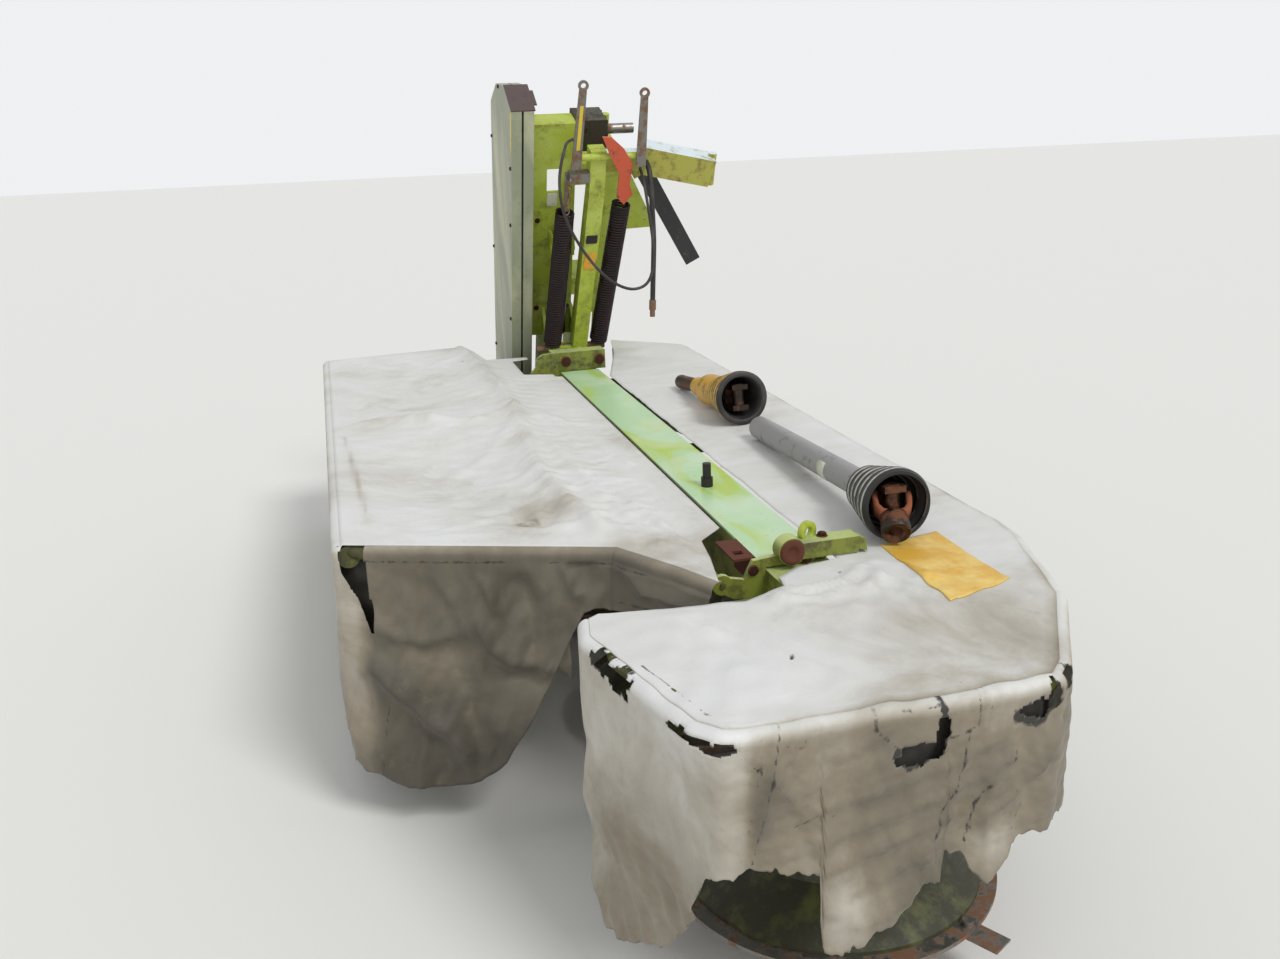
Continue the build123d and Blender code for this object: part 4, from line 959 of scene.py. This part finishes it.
def cover_material():
    """Glass-filled plastic, once green: grey with cream bleaching in long upright stains.

    The stains are about 170 by 770 mm, and the lichen's flecks 23 mm.
    """
    made, tree, shader, spot = start_material("bleached_cover_plastic")
    stretched = add(tree, "Mapping", {"Vector": spot, "Scale": (6.0, 6.0, 1.3)}).outputs[0]
    skin = patches(tree, stretched, colour("#959a82"), "#c3c2a4", (0.44, 0.66), 1.0, 6.0, distortion=0.6)[0]
    skin, fleck, _ = patches(tree, spot, skin, "#74775c", (0.56, 0.68), 44.0, 8.0, 0.75, most=0.55)
    relief = add(tree, "Bump", {"Height": fleck, "Distance": 0.0008, "Strength": 0.25}).outputs[0]
    feed(tree, shader, {"Base Color": skin, "Roughness": 0.5, "Normal": relief})
    return made


finish_nodes(cover_material(), "belt_cover_rear", "belt_cover_front")
finish_nodes(black_plastic, "belt_cover_core")
finish_nodes(plastic_material("dark_brown_cap_plastic", "#4c3a38", "#2c2322", 0.4), "belt_cover_cap")
finish_nodes(worn_steel_material("dirty_cast_housing", "#4c4a3c", "#3a2f24", 0.5), "gearbox")
finish_nodes(worn_steel, "input_shaft", "spring_anchor_bar", "spring_yoke",
             "hooked_bar_rear", "hooked_bar_front")
finish_nodes(plastic_material("scuffed_black_enamel", "#2b2a2c", "#5b5048", 0.35), "stand_leg")
finish_nodes(plastic_material("chipped_orange_enamel", "#c8573a", "#5b3a2c", 0.45), "spring_latch")
finish_nodes(plastic_material("oily_black_enamel", "#1f1e1f", "#4a3f35", 0.4), "fold_cylinder_barrel")
finish_nodes(worn_steel_material("chromed_rod_steel", "#c9c9c9", "#8a7a6a", 0.1), "fold_cylinder_rod")

# The upright arm's own ways are x, v and a: v is its depth and a runs along it from the pivot.
PIVOT = np.array([0.0, 1450.0, 470.0])
ARM_LEAN = math.radians(23)


def on_arm(points):
    """Points x, v, a of the upright arm go to the part's place: turned by the lean about the pivot."""
    points = np.asarray(points, dtype=float)
    across, depth, length = points[..., 0], points[..., 1], points[..., 2]
    return PIVOT + np.stack([
        across,
        depth * math.cos(ARM_LEAN) - length * math.sin(ARM_LEAN),
        depth * math.sin(ARM_LEAN) + length * math.cos(ARM_LEAN)], axis=-1)


def closed_piece(name, grid, material, body, close_rows=False):
    """A surface from a grid of points in part millimetres, closed round its columns and perhaps its rows."""
    rows, columns = grid.shape[:2]
    index = np.arange(rows * columns).reshape(rows, columns)
    if close_rows:
        index = np.concatenate([index, index[:1]], axis=0)
    index = np.concatenate([index, index[:, :1]], axis=1)
    piece = mesh_piece(name, grid.reshape(-1, 3), quads(index).reshape(-1, 4), material)
    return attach(piece, body)


TURN_STEPS, WIRE_SIDES = 18, 8


def coil(start, end, turns, radius, wire):
    """A spring: a circle of wire carried round a helix between two points, closed to a point at both ends."""
    start, end = np.asarray(start, dtype=float), np.asarray(end, dtype=float)
    axis = unit(end - start)
    side = unit(np.cross(axis, [0, 1, 0]))
    other = np.cross(axis, side)
    angle = np.linspace(0, 2 * np.pi * turns, turns * TURN_STEPS + 1)[:, None, None]
    round_wire = np.linspace(0, 2 * np.pi, WIRE_SIDES, endpoint=False)[None, :, None]
    rise = wire + (np.linalg.norm(end - start) - 2 * wire) * angle / angle.max()
    thick = wire * np.ones_like(angle)
    thick[0] = thick[-1] = 0.01
    radial = np.cos(angle) * side + np.sin(angle) * other
    out = radius - wire + thick * np.cos(round_wire)
    return start + radial * out + axis * (rise + thick * np.sin(round_wire))


# Springs: close-wound dark steel, 56 turns of 34 mm radius in 9.2 mm wire, from their lower to upper ends.
spring_steel = worn_steel_material("dark_spring_steel", "#3a2f2f", "#241c1c", 0.5)
for name, low, high in (
    ("rear", (119, -190, 336), (153, -190, 879)),
    ("front", (294, -190, 336), (352, -190, 899)),
):
    windings = closed_piece(
        f"coil_spring_{name}", on_arm(coil(low, high, 56, 34, 4.6)), spring_steel, "arm")
    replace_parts(windings, f"relief_spring_{name}")

# ---------------------------------------------------------------------------
# Fittings: bolt heads, bare plates and stickers without words, the chain on the rear spring, the lining
# of the yellow cone, the cap and ring by the near bracket, the free yoke and the label on the tube.
# ---------------------------------------------------------------------------


def frame_of(axis):
    """An axis as a unit vector, and two more, square to it and to each other."""
    axis = unit(axis)
    helper = (0, 0, 1) if abs(axis[2]) < 0.9 else (1, 0, 0)
    side = unit(np.cross(axis, helper))
    return axis, side, np.cross(axis, side)


def ringed(centre, axis, rings, sides):
    """Rings of points round an axis from rows of radius and height; a radius near nothing closes the end."""
    axis, side, other = frame_of(axis)
    angle = np.linspace(0, 2 * np.pi, sides, endpoint=False)
    around = np.cos(angle)[:, None] * side + np.sin(angle)[:, None] * other
    return np.stack([np.asarray(centre) + radius * around + height * axis for radius, height in rings])


def bolt(centre, axis, size):
    """A washer with a hexagon head on it, chamfered at its top corners."""
    washer = ringed(centre, axis, [
        (size * 1.25, 0), (size * 1.25, size * 0.16), (size * 1.15, size * 0.2), (0.01, size * 0.2)], 24)
    head = ringed(centre, axis, [
        (size, size * 0.2), (size, size * 0.75), (size * 0.86, size * 0.88), (0.01, size * 0.88)], 6)
    return np.concatenate([washer, np.repeat(head, 4, axis=1)])


def arm_way(x, v, a):
    """A direction of the upright arm, turned by the lean."""
    return tuple(on_arm((x, v, a)) - on_arm((0, 0, 0)))


# Bolts: body, centre, axis and head size. The arm's are given as x, v, a on the upright arm.
BOLTS = [("bar", (x, 841, 696), (0, -1, 0), 15) for x in (108, 228)]
BOLTS += [("bar", (x, -1132, z), (0, -1, 0), 9) for x, z in ((62, 657), (172, 668))]
BOLTS += [("bar", (212, -1112, 701), (0, 0, 1), 9)]
BOLTS += [("bar", (119, 1450, 470), (-1, 0, 0), 22), ("bar", (205, 1450, 470), (1, 0, 0), 22)]
BOLTS += [("arm", on_arm((320, v, a)), (1, 0, 0), 8) for v in (-42, 47) for a in (1043, 1127)]
BOLTS += [("arm", on_arm((-24, v, a)), (-1, 0, 0), 6) for v, a in (
    (-122, 60), (-122, 420), (-122, 800), (-122, 1010), (228, 90), (255, 520), (272, 960), (120, 1200))]
BOLTS += [("arm", on_arm((x, -60, a)), arm_way(0, -1, 0), 8) for x in (82, 198) for a in (420, 780)]
for number, (body, centre, axis, size) in enumerate(BOLTS, start=1):
    closed_piece(f"bolt_{number}", bolt(centre, axis, size), rusted_steel, body)


def sticker(centre, across, up, width, height, thick):
    """A thin plate with rounded corners: two full rings, one drawn in at the rim, and a closed face."""
    across, up = unit(across), unit(up)
    corner = min(width, height) * 0.12
    angle = np.linspace(0, 2 * np.pi, 32, endpoint=False) + np.pi / 32
    x = np.sign(np.cos(angle)) * (width / 2 - corner) + corner * np.cos(angle)
    y = np.sign(np.sin(angle)) * (height / 2 - corner) + corner * np.sin(angle)
    rings = [(1, 0), (1, thick * 0.7), (0.985, thick), (0.5, thick), (0.001, thick)]
    rim, out = x[:, None] * across + y[:, None] * up, np.cross(across, up)
    return np.stack([np.asarray(centre) + shrink * rim + depth * out for shrink, depth in rings])


yellow_label = plastic_material("faded_yellow_label", "#d9c13c", "#8f8248", 0.3)
pale_label = plastic_material("blank_pale_label", "#c9c9b8", "#8d8a72", 0.4)
orange_label = plastic_material("faded_orange_label", "#d8a032", "#8a6a34", 0.35)
# The arm's slot is a thin black plate in place of a hollow: painted shade.
painted_shade_hollow = plastic_material("painted_shade_hollow", "#161412", "#2a241e", 0.3)
# Bare labels on the arm: name, finish, centre as x, v, a, ways across and up, width, height, thickness.
LABELS = [
    ("cover_strip", yellow_label, (-24, -122, 1130), (0, -1, 0), (0, 0, 1), 20, 150, 0.5),
    ("arm_label", orange_label, (241, -216, 690), (1, 0, 0), (0.06, 0, 1), 42, 66, 0.5),
    ("arm_slot", painted_shade_hollow, (246, -216, 775), (1, 0, 0), (0.06, 0, 1), 40, 32, 0.6),
    ("carrier_label", pale_label, (134, -60, 858), (1, 0, 0), (0, 0, 1), 36, 50, 0.5),
    ("hook_bar_strip", yellow_label, (184, -236, 1190), (1, 0, 0), (0.05, 0, 1), 12, 150, 0.5),
]
for name, finish, centre, across, up, width, height, thick in LABELS:
    plate = sticker(on_arm(centre), arm_way(*across), arm_way(*up), width, height, thick)
    closed_piece(name, plate, finish, "arm")


LINK_LONG, LINK_WIDE, LINK_WIRE = 13, 8, 2.4


def link(centre, long_way, wide_way):
    """A chain link: a circle of wire carried round an ellipse."""
    turn = np.linspace(0, 2 * np.pi, 20, endpoint=False)[:, None, None]
    wire = np.linspace(0, 2 * np.pi, WIRE_SIDES, endpoint=False)[None, :, None]
    long_way, wide_way = np.asarray(long_way), np.asarray(wide_way)
    radial = np.cos(turn) * long_way + np.sin(turn) * wide_way
    middle = centre + LINK_LONG * np.cos(turn) * long_way + LINK_WIDE * np.sin(turn) * wide_way
    return middle + LINK_WIRE * (np.cos(wire) * radial + np.sin(wire) * np.cross(long_way, wide_way))


for number, share in enumerate(np.linspace(0, 1, 6), start=1):
    wide_way = (arm_way(1, 0, 0), arm_way(0, 1, 0))[number % 2]
    ring = link(on_arm((158 - 8 * share, -231, 1000 - 104 * share)), arm_way(0, 0, 1), wide_way)
    closed_piece(f"chain_link_{number}", ring, worn_steel, "arm", close_rows=True)

# The dark liner and lip of the inner shaft half's cone, and the rusty cap on the near bracket's boss.
cone_liner = ringed(inner_mouth, inner_way, [
    (0.01, -136), (30, -136), (36, -120), (42, -90), (48, -60), (54, -30), (60, -1), (63, 1), (73.5, 1),
    (75, -1), (75, -8)], 48)
closed_piece("cone_liner", cone_liner, black_plastic, "bar")
boss_cap = ringed((133, -1152, 692), (0, -1, 0), [
    (24, -1), (24.5, 0), (24.5, 5), (22, 7), (12, 7), (10, 4), (0.01, 4)], 40)
closed_piece("boss_cap", boss_cap, rusted_steel, "bar")
# The thick green ring welded up behind the guard arm, in place of the plain eye.
eye_ring = ringed((184, -1104, 710), (0.45, -0.89, 0), [
    (11, -6), (21.3, -6), (22, -5.3), (22, 5.3), (21.3, 6), (11, 6), (10.3, 5.3), (10.3, -5.3)], 40)
welded_ring = closed_piece("welded_eye_ring", eye_ring, bright_enamel, "bar", close_rows=True)
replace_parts(welded_ring, "lifting_eye")

# The free yoke of the outer half's joint, which hangs out of its bell: a bored hub and a bent fork.
joint_cross = outer_mouth - 32 * outer_way
hub_centre = np.array([358.0, -1134.0, 708.0])
hub_way, fork_side, fork_up = frame_of(hub_centre - joint_cross)
hub = ringed(hub_centre, hub_way, [
    (0.01, -34), (20, -34), (27, -26), (29, -10), (29, 16), (27, 19), (24, 19), (23, 15), (15, 15), (14, 10),
    (14, -12), (0.01, -12)], 48)
closed_piece("yoke_hub", hub, greasy_iron, "bar")
bend = np.array([
    (-33, -14), (-34, 4), (-32, 22), (-22, 36), (0, 41), (22, 36), (32, 22), (34, 4), (33, -14)], dtype=float)
normal = np.gradient(bend, axis=0)[:, ::-1] * (1, -1)
normal /= np.linalg.norm(normal, axis=1, keepdims=True)
section = np.array([(-5, -15), (5, -15), (5, 15), (-5, 15)], dtype=float)
strap = bend[:, None] + section[None, :, :1] * normal[:, None]
fork = joint_cross + strap[..., :1] * fork_side + strap[..., 1:] * hub_way + section[None, :, 1:] * fork_up
low_end, high_end = (end.mean(axis=1, keepdims=True).repeat(4, axis=1) for end in (fork[:1], fork[-1:]))
closed_piece("yoke_fork", np.concatenate([low_end, fork, high_end]),
             worn_steel_material("orange_rusted_forging", "#6e4030", "#93553a", 0.8), "bar")

# A bare pale label wrapped a quarter of the way round the outer half's tube.
LABEL_STEPS, LABEL_START = 14, 480
LABEL_INSIDE, LABEL_OUTSIDE = 30.1, 30.7
station = LABEL_START + np.array([0, 0, 20, 40, 40])[:, None, None]
turn = np.linspace(math.radians(-38), math.radians(48), LABEL_STEPS)
turn = np.concatenate([turn, turn[::-1]])[None, :, None]
face = np.repeat([LABEL_OUTSIDE, LABEL_INSIDE], LABEL_STEPS)[None, :, None] * np.ones((5, 1, 1))
face[0] = face[-1] = LABEL_INSIDE
outer_way, tube_side, tube_up = frame_of(outer_way)
wrap = outer_start + station * outer_way + face * (np.cos(turn) * tube_side + np.sin(turn) * tube_up)
closed_piece("tube_label", wrap, pale_label, "bar")

low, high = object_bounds()
